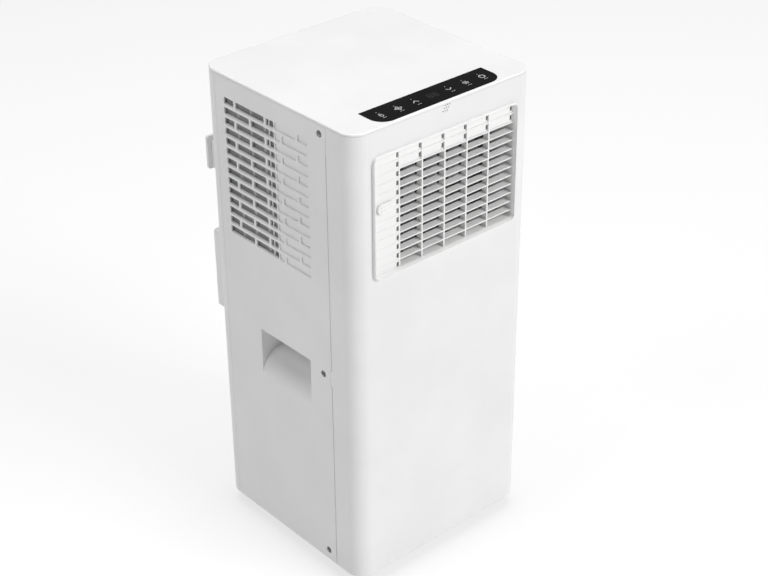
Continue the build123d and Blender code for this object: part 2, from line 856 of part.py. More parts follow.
def rear_shell():
    """Rear face and both rear corners, with door lugs, duct guard and ledges."""
    zone = block((-far, far), (seam_rear + joint_gap / 2, rear + wall), (0, far * 2))
    shell = (case_ring() & zone) - rear_openings()
    middle = deck_z - 3 * tab_tall
    for z in (screw_spots[0][1], middle, screw_spots[2][1]):
        shell += both_sides(rear_tab(z))
    ledge = (deck_z - wall, deck_z)
    shell += block((-side / 4, side / 4), (inner_rear - 2 * wall, inner_rear + weld), ledge)
    lug_x = (door_width / 2 + door_play, door_width / 2 + door_pin_long + lug_wall)
    lug_half = door_pin_r + lug_wall
    lug = block(lug_x, (door_hinge_y - lug_half, inner_rear + weld), (door_hinge_z - lug_half, door_hinge_z + lug_half))
    lug -= rod("x", (0, door_hinge_y, door_hinge_z), door_pin_r + door_pin_play, door_width / 2 + door_pin_long + joint_gap)
    shell += both_sides(lug)
    guard = rear - wall
    for radius in (duct_inner_r * 0.35, duct_inner_r * 0.7):
        shell += pipe("y", (0, guard, duct_z), radius + guard_bar / 2, radius - guard_bar / 2, wall)
    for angle in range(0, 180, 45):
        bar = Box(2 * duct_inner_r + seat_wall + weld, wall, guard_bar)
        shell += Pos(0, guard + wall / 2, duct_z) * Rot(0, angle, 0) * bar
    return shell


def filter_door():
    """Louvred door with a rounded lower edge that its two hinge pins run through."""
    half = door_width / 2
    low = door_hinge_z
    top = body_top - door_drop
    y = (door_hinge_y - door_thick / 2, door_hinge_y + door_thick / 2)
    door = block((-half, half), y, (low, top)) + rod("x", (-half, door_hinge_y, low), door_thick / 2, door_width)
    margin = 10
    wide = (door_width - 2 * margin) / door_slot_columns
    pitch = (top - low - 3 * margin) / door_slot_rows
    for column in range(door_slot_columns):
        for row in range(door_slot_rows):
            x = -half + margin + column * wide
            z = low + 1.2 * margin + row * pitch
            opening = block((x + 2, x + wide - 2), (y[0] - 1, y[1] + 1), (z, z + pitch * 0.55))
            door -= opening
    door -= block((-20, 20), (y[1] - door_thick / 3, y[1] + 1), (top - 6, top + 1))
    pins = rod("x", (-half - door_pin_long, door_hinge_y, low), door_pin_r, door_width + 2 * door_pin_long)
    return door + pins


def upper_filter():
    """Framed net clipped to the inside of the door."""
    half = door_width / 2 - 8
    y = door_hinge_y - door_thick / 2 - upper_filter_thick
    z = (door_hinge_z + 8, body_top - door_drop - 6)
    sheet = block((-half, half), (y, y + upper_filter_thick), z)
    return sheet - net_windows("y", (-half, half), z, y, upper_filter_thick, 4, 3)


def lower_grille():
    """Louvred grille over the condenser's intake, with a flange inside the wall."""
    half = lower_grille_width / 2
    low = body_low + lower_grille_rise
    high = low + lower_grille_tall
    flange = 3.5
    grille = block((-half, half), (inner_rear - wall, rear - weld), (low, high))
    grille += block((-half - flange, half + flange), (inner_rear - wall, inner_rear), (low - flange, high + flange))
    pitch = (lower_grille_tall - 16) / lower_slot_rows
    for row in range(lower_slot_rows):
        z = low + 9 + row * pitch
        for x in (-half + 8, 4):
            grille -= block((x, x + half - 12), (inner_rear - 2 * wall, rear + wall), (z, z + pitch * 0.6))
    return grille


def lower_filter():
    """Framed net between the lower grille and the condenser."""
    half = lower_grille_width / 2
    low = body_low + lower_grille_rise
    y = inner_rear - wall - lower_filter_thick
    z = (low, low + lower_grille_tall)
    return block((-half, half), (y, y + lower_filter_thick), z) - net_windows("y", (-half, half), z, y,
                                                                           lower_filter_thick, 4, 4)


def duct_seat():
    """Raised housing round the hot-air outlet, with a bayonet groove for the collar."""
    half = seat_width / 2
    z = (duct_z - seat_tall / 2, duct_z + seat_tall / 2)
    seat = rounded_y((-half, half), (rear, rear + seat_proud), z, seat_corner_r)
    seat += rod("y", (0, rear, duct_z), seat_boss_r, seat_proud)
    hollow = rounded_y((-half + seat_wall, half - seat_wall), (rear - 1, rear + seat_proud - seat_wall),
                       (z[0] + seat_wall, z[1] - seat_wall), seat_corner_r - seat_wall)
    sleeve_r = groove_r() + seat_wall / 1.5
    hollow -= rod("y", (0, rear - 1, duct_z), sleeve_r, seat_proud)
    seat -= hollow
    bore = duct_outer_r + duct_play
    seat -= rod("y", (0, rear - 1, duct_z), bore, seat_proud + 2)
    groove_y = rear + 2 * seat_wall - bayonet_play
    seat -= rod("y", (0, groove_y, duct_z), groove_r(), bayonet_thick + 2 * bayonet_play)
    for index in range(lug_count):
        angle = 90 + bayonet_turn + index * 360 / lug_count
        seat -= sector(groove_r(), bayonet_arc + 4, angle, groove_y, seat_proud * 2)
    return seat


def groove_r():
    """Radius of the bayonet groove, clear of the collar's lugs."""
    return duct_outer_r + bayonet_reach + bayonet_play


def sector(radius, arc, angle, y, length):
    """Wedge of a disc about the duct's axis; angles turn from +X towards +Z."""
    half = radians(arc / 2)
    reach = radius / cos(half) * 1.2
    points = [(0, 0)] + [(reach * cos(radians(angle) + turn), reach * sin(radians(angle) + turn))
                         for turn in (-half, half)]
    face = make_face(Polyline(*points, close=True).edges())
    wedge = Pos(0, y + length, duct_z) * extrude(Plane.XZ * face, length)
    return wedge & rod("y", (0, y, duct_z), radius, length)


def duct_collar():
    """Round spigot for the hot-air hose, with three bayonet lugs and a grip flange."""
    inner_end = rear + seat_wall / 2
    collar = rod("y", (0, inner_end, duct_z), duct_outer_r, duct_proud - seat_wall / 2)
    lug_y = rear + 2 * seat_wall
    for index in range(lug_count):
        angle = 90 + index * 360 / lug_count
        collar += sector(duct_outer_r + bayonet_reach, bayonet_arc, angle, lug_y, bayonet_thick)
    collar += rod("y", (0, rear + seat_proud + 1, duct_z), grip_r, 4)
    for step in (0.4, 0.7):
        y = rear + seat_proud + (duct_proud - seat_proud) * step
        collar += rod("y", (0, y, duct_z), duct_outer_r + 1.2, 1.6)
    return collar - rod("y", (0, rear - 1, duct_z), duct_inner_r, duct_proud + 2)


def cord_hook():
    """Left post with an end flange; the mains cord is wound round the pair."""
    x = (-side + hook_inset, -side + hook_inset + hook_wide)
    z = (body_low + hook_rise, body_low + hook_rise + hook_tall)
    flange = rounded_y(x, (rear + hook_proud - hook_flange, rear + hook_proud), z, 3)
    post_x = (x[1] - hook_post_wide - 2, x[1] - 2)
    middle = sum(z) / 2
    post = rounded_y(post_x, (rear - wall / 4, rear + hook_proud - hook_flange + weld),
                     (middle - hook_post_tall / 2, middle + hook_post_tall / 2), 3)
    low = z[0] + hook_flange
    corners = [(rear - wall, low - hook_gusset), (rear - wall, middle), (rear + hook_proud - weld, middle),
               (rear + hook_proud - weld, low)]
    face = make_face(Polyline(*corners, close=True).edges())
    gusset = extrude_x(face, *post_x)
    return flange + ((post + gusset) - footprint(0, 0, far * 2))


def cord_gland():
    """Bush where the mains cord enters."""
    z = body_low + gland_rise
    bush = rod("y", (gland_x, inner_rear - 3 * wall, z), gland_r, 4 * wall)
    bush += rod("y", (gland_x, rear, z), gland_flange_r, wall)
    return bush - rod("y", (gland_x, inner_rear - 4 * wall, z), gland_bore_r, 7 * wall)


def drain_plug(x, z):
    """Rubber cap over a drain spout."""
    y = rear + 1
    outer = spout_r + joint_gap / 3 + plug_wall
    cap = rod("y", (x, y, z), outer, spout_proud + plug_wall)
    cap -= rod("y", (x, y - 1, z), spout_r + joint_gap / 3, spout_proud)
    tongue = block((x - 3, x + 3), (y + spout_proud, y + spout_proud + plug_wall), (z - outer - 5, z))
    return cap + tongue


# ---- Fasteners

def casing_screws():
    """Pan-head screws: three on each side, four at the rear."""
    screws = []
    head_low = side - screw_sink
    for y, z in screw_spots:
        screw = rod("x", (head_low, y, z), screw_head_r, screw_head_tall)
        screw += rod("x", (head_low - screw_length, y, z), screw_shank_r, screw_length)
        screw -= cross_recess("x", (head_low + screw_head_tall, y, z))
        screws += both_sides(screw)
    head_y = rear - wall / 2
    for x, z in rear_screws():
        screw = rod("y", (x, head_y, z), screw_head_r, wall / 2)
        screw += rod("y", (x, head_y - screw_length, z), screw_shank_r, screw_length)
        screw -= cross_recess("y", (x, head_y + wall / 2, z))
        screws.append(screw)
    return screws


def cross_recess(axis, at):
    """Cross-shaped socket in a screw's head."""
    arm = screw_head_r * 1.2
    thin = 0.9
    deep = 1.6
    x, y, z = at
    bars = []
    for a, b in ((arm, thin), (thin, arm)):
        if axis == "x":
            bars.append(block((x - deep / 2, x + deep), (y - a / 2, y + a / 2), (z - b / 2, z + b / 2)))
        else:
            bars.append(block((x - a / 2, x + a / 2), (y - deep / 2, y + deep), (z - b / 2, z + b / 2)))
    return bars


# ---- Base pan and casters

def caster_spots():
    """Swivel axes of the four casters."""
    x_front = side - front_caster_inset
    x_rear = side - rear_caster_inset
    y_front = front + front_caster_back
    y_rear = rear - rear_caster_back
    return {"fl": (-x_front, y_front), "fr": (x_front, y_front), "rl": (-x_rear, y_rear), "rr": (x_rear, y_rear)}


def base_pan():
    """Tray that carries the compressor, with caster wells, pads, spout and float stem."""
    inset = wall + slip
    floor = body_low + 2
    top = floor + pan_rim
    pan = footprint(inset, floor, top) - footprint(inset + pan_thick, floor + pan_thick, top)
    for x, y in caster_spots().values():
        pan += rod("z", (x, y, floor), well_r + pan_thick, well_top + pan_thick - floor) & footprint(inset, 0, far)
    for x, y in caster_spots().values():
        pan -= rod("z", (x, y, floor - 1), well_r, well_top - floor + 1)
        pan -= rod("z", (x, y, floor), stem_r + stem_play, far)
    for y, z in screw_spots[:1]:
        notch = block((tab_out - tab_thick - slip, side), (seam_front - wall * 3, y + tab_reach + slip),
                      (floor + pan_thick, top + 1))
        pan -= both_sides(notch)
    rear_notch = block((inner_side - tab_thick - 2 * joint_gap, side), (seam_rear - tab_reach - slip,
                       seam_rear + tab_reach + slip), (floor + pan_thick, top + 1))
    pan -= both_sides(rear_notch)
    for x, y in foot_spots():
        pan += rod("z", (x, y, floor), grommet_r + 2, pan_thick + pad_tall)
        pan += rod("z", (x, y, floor), stud_r, stud_top() - floor)
    for x in (-condenser_width / 4, condenser_width / 4):
        pan += block((x - 10, x + 10), (front + condenser_back + 2, front + condenser_back + condenser_deep - 2),
                     (floor, condenser_low))
    pan += block((splash_x - 8, splash_x + 8), (splash_y - splash_motor_long, splash_y - 8),
                 (floor, splash_height - splash_motor_r + weld)) - splash_can(joint_gap / 3)
    pan += rod("z", (float_x, front + float_back, floor), float_stem_r, pan_thick + float_tall + float_travel + 6)
    pan += block((box_left + 6, box_left + 26), (front + box_back_front + 6, front + box_back_front + 26), (floor, box_low))
    pan += block((box_left + 6, box_left + 26), (front + box_back_rear - 26, front + box_back_rear - 6), (floor, box_low))
    x, z = spout_spots()[0]
    spout_start = rear - inset - pan_thick
    pan += rod("y", (x, spout_start, z), spout_r, rear + spout_proud - spout_start)
    pan -= rod("y", (x, spout_start - 1, z), spout_bore_r, far)
    for x, z in rear_screws()[:2]:
        pan -= rod("y", (x, rear - screw_length - wall, z), screw_shank_r + screw_play / 3, far)
    return pan


def stud_top():
    """Upper end of the studs that hold the compressor down."""
    return foot_top() + grommet_tall / 2 + nut_tall + 2


def foot_top():
    """Underside of the compressor's foot plate, held in the grommets' grooves."""
    return body_low + 2 + pan_thick + pad_tall + grommet_tall / 2


def caster_frame(name):
    """Place of a caster: its swivel axis and its heading."""
    x, y = caster_spots()[name]
    return Pos(x, y, 0) * Rot(0, 0, caster_headings[name])


def caster_fork():
    """Swivel head, stem and central web of a twin-wheel caster, trailing along +X."""
    head_low = well_top - well_air - 4
    head = rod("z", (0, 0, head_low), swivel_r, 4)
    stem = rod("z", (0, 0, head_low), stem_r, well_top + pan_thick - head_low)
    hood_r = wheel_r + 1.2
    web = block((-swivel_r * 0.7, trail + 4), (-web_thick / 2, web_thick / 2), (wheel_hub_z - 6, head_low + 1))
    web += rod("y", (trail, -web_thick / 2, wheel_hub_z), wheel_r * 0.6, web_thick)
    cover_half = web_thick / 2 + wheel_gap + wheel_wide
    hood = rod("y", (trail, -cover_half, wheel_hub_z), hood_r + hood_thick, 2 * cover_half)
    hood -= rod("y", (trail, -cover_half - 1, wheel_hub_z), hood_r, 2 * cover_half + 2)
    hood &= block((-far, trail + wheel_r * 0.75), (-far, far), (wheel_hub_z + wheel_r * 0.35, head_low + 1))
    web += hood & block((-far, far), (-far, far), (0, head_low + 1))
    bore = rod("y", (trail, -far, wheel_hub_z), axle_r + axle_play, 2 * far)
    return head + stem + web - bore


def caster_wheels():
    """Two wheels on one axle."""
    inner = web_thick / 2 + wheel_gap
    wheels = rod("y", (trail, -inner - wheel_wide / 2, wheel_hub_z), axle_r, 2 * inner + wheel_wide)
    for start in (-inner - wheel_wide, inner):
        disc = rod("y", (trail, start, wheel_hub_z), wheel_r, wheel_wide)
        wheels += fillet(disc.edges(), 1.2)
    return wheels


# ---- Cold compartment

def drip_deck():
    """Tray between the two compartments, with ribs under the evaporator and a drain spout."""
    inset = wall + slip
    deck = footprint(inset, deck_z, deck_z + deck_rim)
    deck -= footprint(inset + deck_thick, deck_z + deck_thick, deck_z + deck_rim)
    for x in (-evaporator_width / 3, 0, evaporator_width / 3):
        deck += block((x - 6, x + 6), (front + evaporator_back + 1, front + evaporator_back + evaporator_deep - 1),
                      (deck_z, evaporator_low))
    x, z = spout_spots()[1]
    start = rear - inset - deck_thick
    deck += rod("y", (x, start, z), spout_r, rear + spout_proud - start)
    deck &= block((-far, far), (-far, far), (deck_z - spout_r, far * 2))
    deck -= rod("y", (x, start - 1, z), spout_bore_r, far)
    for x, y, radius in deck_passages():
        deck += rod("z", (x, y, deck_z), radius + deck_thick + 1, deck_rim)
    for x, y, radius in deck_passages():
        deck -= rod("z", (x, y, deck_z - 1), radius + 1, deck_rim + 2)
    for x, z in rear_screws()[2:]:
        deck -= rod("y", (x, rear - screw_length - wall, z), screw_shank_r + screw_play / 3, far)
    return deck


def deck_passages():
    """Where the suction pipe and the capillary pass the deck: axis and radius of each."""
    y = coil_ends(cold)[0][1]
    suction_x = inner_side - pipe_r - 6
    return [(suction_x, y, pipe_r), (suction_x - pipe_bend_r, y, capillary_r)]


def coil_rows(low, tall, count):
    """Heights of the straight tubes in one coil."""
    pitch = tall / count
    return [low + (index + 0.5) * pitch for index in range(count)]


def fins(sizes):
    """Stack of upright fins with an end plate at each side, bored for the tubes."""
    width, low, tall, back, deep, count = sizes
    y = (front + back, front + back + deep)
    holes = [rod("x", (-width, front + back + deep * share, z), tube_r + tube_hole_play, 2 * width)
             for share in (0.25, 0.75) for z in coil_rows(low, tall, count)]
    fin = block((0, fin_thick), y, (low, low + tall)) - holes
    plate = block((0, end_plate_thick), y, (low, low + tall)) - holes
    steps = int((width - 2 * end_plate_thick) / fin_gap)
    stack = [Pos(-width / 2, 0, 0) * plate, Pos(width / 2 - end_plate_thick, 0, 0) * plate]
    for index in range(1, steps):
        x = -width / 2 + index * width / steps
        stack.append(Pos(x, 0, 0) * fin)
    rail = block((-width / 2, width / 2), (y[0], y[0] + fin_thick), (low - fin_thick, low))
    stack.append(rail)
    return stack


def coil_ends(sizes):
    """Free ends of a coil's line, both on its left: of the lowest and the highest tube."""
    width, low, tall, back, deep, count = sizes
    x = -width / 2 - bend_clear
    near = front + back + deep * 0.25
    away = front + back + deep * 0.75
    heights = coil_rows(low, tall, count)
    return [(x, near, heights[0]), (x, away if count % 2 else near, heights[-1])]


def coil(sizes):
    """Copper tubes through a fin stack, joined in one line by return bends at their ends."""
    width, low, tall, back, deep, count = sizes
    reach = width / 2 + bend_clear
    columns = (front + back + deep * 0.25, front + back + deep * 0.75)
    heights = coil_rows(low, tall, count)
    pieces = []
    for z in heights:
        for y in columns:
            pieces.append(rod("x", (-reach, y, z), tube_r, 2 * reach))
        pieces.append(return_bend(reach, 1, (columns[0], z), (columns[1], z)))
    for index, (z, above) in enumerate(zip(heights[:-1], heights[1:])):
        y = columns[(index + 1) % 2]
        pieces.append(return_bend(-reach, -1, (y, z), (y, above)))
    line = pieces[0]
    for piece in pieces[1:]:
        line += piece
    return line


def return_bend(x, way, start, end):
    """Half-round bend between two parallel tubes that end at the same X."""
    span = hypot(end[0] - start[0], end[1] - start[1])
    middle = ((start[0] + end[0]) / 2, (start[1] + end[1]) / 2)
    ring = Torus(span / 2, tube_r)
    lean = degrees(atan2(end[1] - start[1], end[0] - start[0]))
    ring = Pos(x, middle[0], middle[1]) * Rot(lean, 0, 0) * ring
    keep = (x, x + span) if way > 0 else (x - span, x)
    return ring & block(keep, (-far, far), (0, far * 2))


def upper_fan_housing():
    """Two end plates joined by the lower guide and the upper cut-off of the cross-flow fan."""
    left = cross_fan_left - housing_gap - housing_plate
    right = cross_fan_left + cross_fan_long + housing_gap
    face_y = shelf_y[1] + joint_gap
    rear_y = front + evaporator_back - 2
    top = outlet_top + 6
    plates = []
    for x in (left, right):
        plate = block((x, x + housing_plate), (face_y, rear_y), (deck_z + deck_thick, top))
        plates.append(plate)
    cy, cz = cross_fan_y, cross_fan_z
    rear_r = cross_fan_r + housing_gap
    start = (cy + rear_r, cz - rear_r * 0.25)
    middle = (cy + rear_r * 0.55, cz - rear_r * 1.08)
    end = (face_y, grid_low + housing_wall)
    guide = extrude_x(trace(ThreePointArc(start, middle, end), housing_wall), left, right + housing_plate)
    nose = (cy - 8, cz + cross_fan_r + housing_gap)
    cut_off = Polyline((face_y, rail_low + shelf_thick), (cy - 20, nose[1] + 4), nose, (nose[0] + 10, nose[1] + 14),
                       (nose[0] + 10, top - housing_wall / 2), (rear_y, top - housing_wall / 2))
    upper = extrude_x(trace(cut_off, housing_wall), left, right + housing_plate)
    clip = block((left, right + housing_plate), (face_y, rear_y), (deck_z, top))
    housing = (guide & clip) + (upper & clip) + plates
    housing -= rod("x", (left - 1, cy, cz), shaft_r + shaft_play, housing_plate + 2)
    housing -= rod("x", (right - 1, cy, cz), shaft_r * 3, housing_plate + 2)
    return housing


def extrude_x(sketch, low, high):
    """Sketch drawn in (Y, Z) and run from one X to another."""
    return Pos(low, 0, 0) * extrude(Plane.YZ * sketch, high - low)


def blade_ring(radius, chord, count, lean, length):
    """Forward-leaning blades round an axis along +Z."""
    blades = []
    for index in range(count):
        blade = Pos(radius - chord / 2, 0, length / 2) * Rot(0, 0, lean) * Box(chord, blade_thick, length)
        blades.append(Rot(0, 0, index * 360 / count) * blade)
    return blades


def upper_fan_wheel():
    """Cross-flow rotor with its end discs, stiffening rings and shaft."""
    rotor = None
    step = (cross_fan_long - cross_fan_disc) / (cross_fan_discs - 1)
    for index in range(cross_fan_discs):
        disc = Pos(0, 0, index * step) * Cylinder(cross_fan_r, cross_fan_disc,
                                                 align=(Align.CENTER, Align.CENTER, Align.MIN))
        if 0 < index < cross_fan_discs - 1:
            disc -= Cylinder(cross_fan_r - cross_fan_blade * 1.4, far * 2)
        rotor = disc if rotor is None else rotor + disc
    rotor += blade_ring(cross_fan_r - 1, cross_fan_blade, cross_fan_blades, 28, cross_fan_long)
    shaft_out = housing_gap + housing_plate
    rotor += Pos(0, 0, -shaft_out) * Cylinder(shaft_r, shaft_out + 1, align=(Align.CENTER, Align.CENTER, Align.MIN))
    rotor += Pos(0, 0, cross_fan_long - 1) * Cylinder(shaft_r, shaft_out + upper_motor_long - 4,
                                                     align=(Align.CENTER, Align.CENTER, Align.MIN))
    return Pos(cross_fan_left, cross_fan_y, cross_fan_z) * Rot(0, 90, 0) * rotor


def upper_fan_motor():
    """Motor of the cross-flow fan, with a flange against the housing."""
    x = cross_fan_left + cross_fan_long + housing_gap + housing_plate
    motor = rod("x", (x + 2, cross_fan_y, cross_fan_z), upper_motor_r, upper_motor_long)
    motor += block((x, x + 3), (cross_fan_y - upper_motor_r, cross_fan_y + upper_motor_r),
                   (cross_fan_z - upper_motor_r, cross_fan_z + upper_motor_r))
    return motor - rod("x", (x - 1, cross_fan_y, cross_fan_z), shaft_r + shaft_play, upper_motor_long - 2)


# ---- Hot compartment

def foot_spots():
    """The compressor's three feet."""
    return [(compressor_x + foot_r * cos(radians(a)), compressor_y + foot_r * sin(radians(a))) for a in (30, 150, 270)]


def compressor():
    """Welded steel shell with domed ends, seam bands and three feet."""
    low = compressor_low
    top = low + compressor_tall
    with BuildLine() as outline:
        Line((0, low), (compressor_r * 0.5, low))
        ThreePointArc((compressor_r * 0.5, low), (compressor_r * 0.88, low + dome_tall * 0.35), (compressor_r, low + dome_tall))
        Line((compressor_r, low + dome_tall), (compressor_r, top - dome_tall))
        ThreePointArc((compressor_r, top - dome_tall), (compressor_r * 0.88, top - dome_tall * 0.35), (compressor_r * 0.5, top))
        Line((compressor_r * 0.5, top), (0, top))
        Line((0, top), (0, low))
    shell = revolve(Plane.XZ * make_face(outline.edges()), Axis.Z)
    shell = Pos(compressor_x, compressor_y, 0) * shell
    for radius_z in (low + dome_tall * 1.3, top - dome_tall * 1.6):
        shell += pipe("z", (compressor_x, compressor_y, radius_z), compressor_r + 1.2, compressor_r - 1, 4)
    z = foot_top()
    for x, y in foot_spots():
        angle = degrees(atan2(y - compressor_y, x - compressor_x))
        arm = Box(foot_r + foot_wide / 2 - 20, foot_wide, foot_thick, align=(Align.MIN, Align.CENTER, Align.MIN))
        arm = Pos(compressor_x, compressor_y, z) * Rot(0, 0, angle) * Pos(20, 0, 0) * arm
        shell += arm
    for x, y in foot_spots():
        shell -= rod("z", (x, y, z - 1), grommet_neck_r() + joint_gap / 3, foot_thick + 2)
    core = rod("z", (compressor_x, compressor_y, z), 24, low - z + 6)
    return shell + core


def grommet_neck_r():
    """Radius of the groove that the foot plate sits in."""
    return grommet_r - 3


def compressor_grommet(x, y):
    """Rubber bush between a foot and the pan."""
    low = body_low + 2 + pan_thick + pad_tall
    bush = rod("z", (x, y, low), grommet_r, grommet_tall)
    z = foot_top()
    bush -= pipe("z", (x, y, z - joint_gap / 3), grommet_r + 1, grommet_neck_r(), foot_thick + joint_gap * 2 / 3)
    return bush - rod("z", (x, y, low - 1), stud_r + joint_gap / 3, grommet_tall + 2)


def compressor_nut(x, y):
    """Hexagon nut and washer on a stud."""
    low = body_low + 2 + pan_thick + pad_tall + grommet_tall
    nut = Pos(x, y, low + 1) * extrude(RegularPolygon(nut_r, 6), nut_tall)
    nut += rod("z", (x, y, low), nut_r + 2, 1)
    return nut - rod("z", (x, y, low - 1), stud_r + joint_gap / 3, nut_tall + 4)


def accumulator():
    """Suction accumulator with its strap and the elbow into the compressor."""
    z = accumulator_rise
    can = rod("z", (accumulator_x, compressor_y, z), accumulator_r, accumulator_tall)
    can = fillet(can.edges(), accumulator_r * 0.4)
    inlet = rod("z", (accumulator_x, compressor_y, z + accumulator_tall - 1), pipe_r + 1, 10)
    strap_z = z + accumulator_tall * 0.6
    gap_left = compressor_x + compressor_r + joint_gap
    strap = block((gap_left, accumulator_x - accumulator_r + 2), (compressor_y - 8, compressor_y + 8), (strap_z, strap_z + 12))
    elbow_z = z - 16
    elbow = path_pipe([(accumulator_x, compressor_y, z + 2), (accumulator_x, compressor_y, elbow_z),
                       (compressor_x + compressor_r + joint_gap, compressor_y, elbow_z)], pipe_r, pipe_bend_r - 2)
    return can + inlet + strap + elbow


def scroll_outline():
    """Spiral of the radial fan's casing in (X, Z), open upwards through its neck."""
    def polar(radius, angle):
        return radius * cos(radians(angle)), scroll_z + radius * sin(radians(angle))
    grow = (scroll_end_r - scroll_start_r) / 290
    spots = [polar(scroll_start_r + grow * (angle - 70), angle) for angle in (70, 125, 180, 225, 270, 315, 360)]
    neck = elbow_low + scroll_wall
    with BuildLine() as outline:
        ThreePointArc(spots[0], spots[1], spots[2])
        ThreePointArc(spots[2], spots[3], spots[4])
        ThreePointArc(spots[4], spots[5], spots[6])
        Polyline(spots[6], (scroll_end_r, neck), (scroll_neck_left, neck), spots[0])
    return make_face(outline.edges())


def lower_fan_scroll():
    """Casing of the hot-side fan, with the shroud that faces the condenser."""
    inner = scroll_outline()
    outer = offset(inner, amount=scroll_wall)
    rear_y = scroll_y + scroll_deep
    casing = Pos(0, rear_y, 0) * extrude(Plane.XZ * outer, scroll_deep)
    casing -= Pos(0, rear_y - scroll_wall, 0) * extrude(Plane.XZ * inner, scroll_deep - 2 * scroll_wall)
    casing &= block((-far, far), (-far, far), (0, elbow_low))
    half = condenser_width / 2
    casing += block((-half, half), (rear_y - scroll_wall, rear_y),
                    (splash_height + splash_r + 4, condenser_low + condenser_tall))
    casing -= rod("y", (0, rear_y - 2 * scroll_wall, scroll_z), inlet_r, 3 * scroll_wall)
    casing -= rod("y", (0, scroll_y - 1, scroll_z), hub_r + 4, scroll_wall + 2)
    return casing


def lower_fan_wheel():
    """Forward-curved radial wheel with its back plate, rim and shaft."""
    low = (Align.CENTER, Align.CENTER, Align.MIN)
    wheel = Cylinder(radial_fan_r, 2, align=low)
    wheel += Cylinder(hub_r, 14, align=low)
    wheel += blade_ring(radial_fan_r - 0.6, radial_fan_r - radial_fan_inner_r, radial_fan_blades, -35, radial_fan_wide)
    rim = Cylinder(radial_fan_r, 2.5, align=low) - Cylinder(radial_fan_inner_r, 2.5, align=low)
    wheel += Pos(0, 0, radial_fan_wide - 2.5) * rim
    wheel += Pos(0, 0, -lower_motor_gap - lower_motor_long + 2) * Cylinder(
        shaft_r, lower_motor_gap + lower_motor_long, align=low)
    start = scroll_y + scroll_wall + radial_fan_gap
    return Pos(0, start, scroll_z) * Rot(-90, 0, 0) * wheel


def lower_fan_motor():
    """Hot-side fan motor on three posts in front of the casing."""
    y = scroll_y - lower_motor_gap - lower_motor_long + 2
    motor = rod("y", (0, y, scroll_z), lower_motor_r, lower_motor_long)
    motor = fillet(motor.edges(), 4)
    for angle in (90, 210, 330):
        x = (lower_motor_r - motor_post_in) * cos(radians(angle))
        z = scroll_z + (lower_motor_r - motor_post_in) * sin(radians(angle))
        motor += rod("y", (x, y + lower_motor_long - 5, z), motor_post_r, scroll_y - y - lower_motor_long + 5)
    return motor - rod("y", (0, y + 4, scroll_z), shaft_r + shaft_play, far)


def exhaust_elbow():
    """Box-shaped duct that turns the hot air from the fan's neck to the rear outlet."""
    right = scroll_end_r + scroll_wall
    y = (scroll_y, inner_rear - duct_seal)
    z = (elbow_low, elbow_low + elbow_tall)
    elbow = block((elbow_left, right), y, z)
    elbow = fillet(elbow.edges().filter_by(Axis.X).group_by(Axis.Z)[-1].sort_by(Axis.Y)[0], scroll_deep / 2)
    inner = block((elbow_left + scroll_wall, right - scroll_wall), (y[0] + scroll_wall, y[1] - scroll_wall),
                  (z[0] + scroll_wall, z[1] - scroll_wall))
    inner = fillet(inner.edges().filter_by(Axis.X).group_by(Axis.Z)[-1].sort_by(Axis.Y)[0],
                   scroll_deep / 2 - scroll_wall)
    elbow -= inner
    elbow -= block((scroll_neck_left, right - scroll_wall), (y[0] + scroll_wall, y[0] + scroll_deep - scroll_wall),
                   (z[0] - 1, z[0] + 2 * scroll_wall))
    elbow -= rod("y", (0, y[1] - 2 * scroll_wall, duct_z), duct_inner_r + seat_wall / 2, 4 * scroll_wall)
    elbow += pipe("y", (0, y[1] - weld, duct_z), duct_inner_r + 3 * scroll_wall, duct_inner_r + seat_wall / 2,
                  duct_seal + weld)
    return elbow


def splash_can(grow):
    """Body of the splash motor."""
    start = splash_y - splash_motor_long - 2
    return rod("y", (splash_x, start, splash_height), splash_motor_r + grow, splash_motor_long)


def splash_motor():
    """Small motor that drives the splash wheel."""
    return splash_can(0) - rod("y", (splash_x, splash_y - splash_motor_long + 4, splash_height),
                               shaft_r / 2 + shaft_play, far)


def splash_wheel():
    """Wheel that throws condensate onto the condenser."""
    low = (Align.CENTER, Align.CENTER, Align.MIN)
    wheel = Cylinder(splash_r * 0.7, 2, align=low) + Cylinder(6, splash_thick, align=low)
    for index in range(splash_vanes):
        vane = Pos(splash_r - 7, 0, splash_thick / 2) * Box(14, 1.2, splash_thick)
        wheel += Rot(0, 0, index * 360 / splash_vanes) * vane
    wheel += Pos(0, 0, -splash_motor_long + 6) * Cylinder(shaft_r / 2, splash_motor_long - 5, align=low)
    return Pos(splash_x, splash_y, splash_height) * Rot(-90, 0, 0) * wheel


def float_ball():
    """Ring float that rises on its stem when the pan fills."""
    z = body_low + 2 + pan_thick + joint_gap
    ring = pipe("z", (float_x, front + float_back, z), float_r, float_stem_r + float_play, float_tall)
    return ring


def suction_pipe():
    """From the evaporator's upper tube, down past the deck, to the accumulator."""
    end_x, y, top_z = coil_ends(cold)[1]
    x = deck_passages()[0][0]
    end_z = accumulator_rise + accumulator_tall + 9
    cross_z = deck_z - 60
    points = [(joint_gap / 3 - end_x, y, top_z), (x, y, top_z), (x, y, cross_z), (accumulator_x, y, cross_z),
              (accumulator_x, compressor_y, cross_z), (accumulator_x, compressor_y, end_z)]
    return path_pipe(points, pipe_r, pipe_bend_r)


def discharge_pipe():
    """From the compressor's top, over the handle pocket, to the condenser's upper tube."""
    x_start = compressor_x - compressor_r / 3
    z_start = compressor_low + compressor_tall
    high = body_top - pocket_drop + wall + 20
    x_side = 12 - inner_side
    end_x, end_y, end_z = coil_ends(hot)[1]
    points = [(x_start, compressor_y, z_start), (x_start, compressor_y, high), (x_side, compressor_y, high),
              (x_side, end_y, high), (x_side, end_y, end_z), (end_x - joint_gap / 3, end_y, end_z)]
    return path_pipe(points, pipe_r, pipe_bend_r - 6)


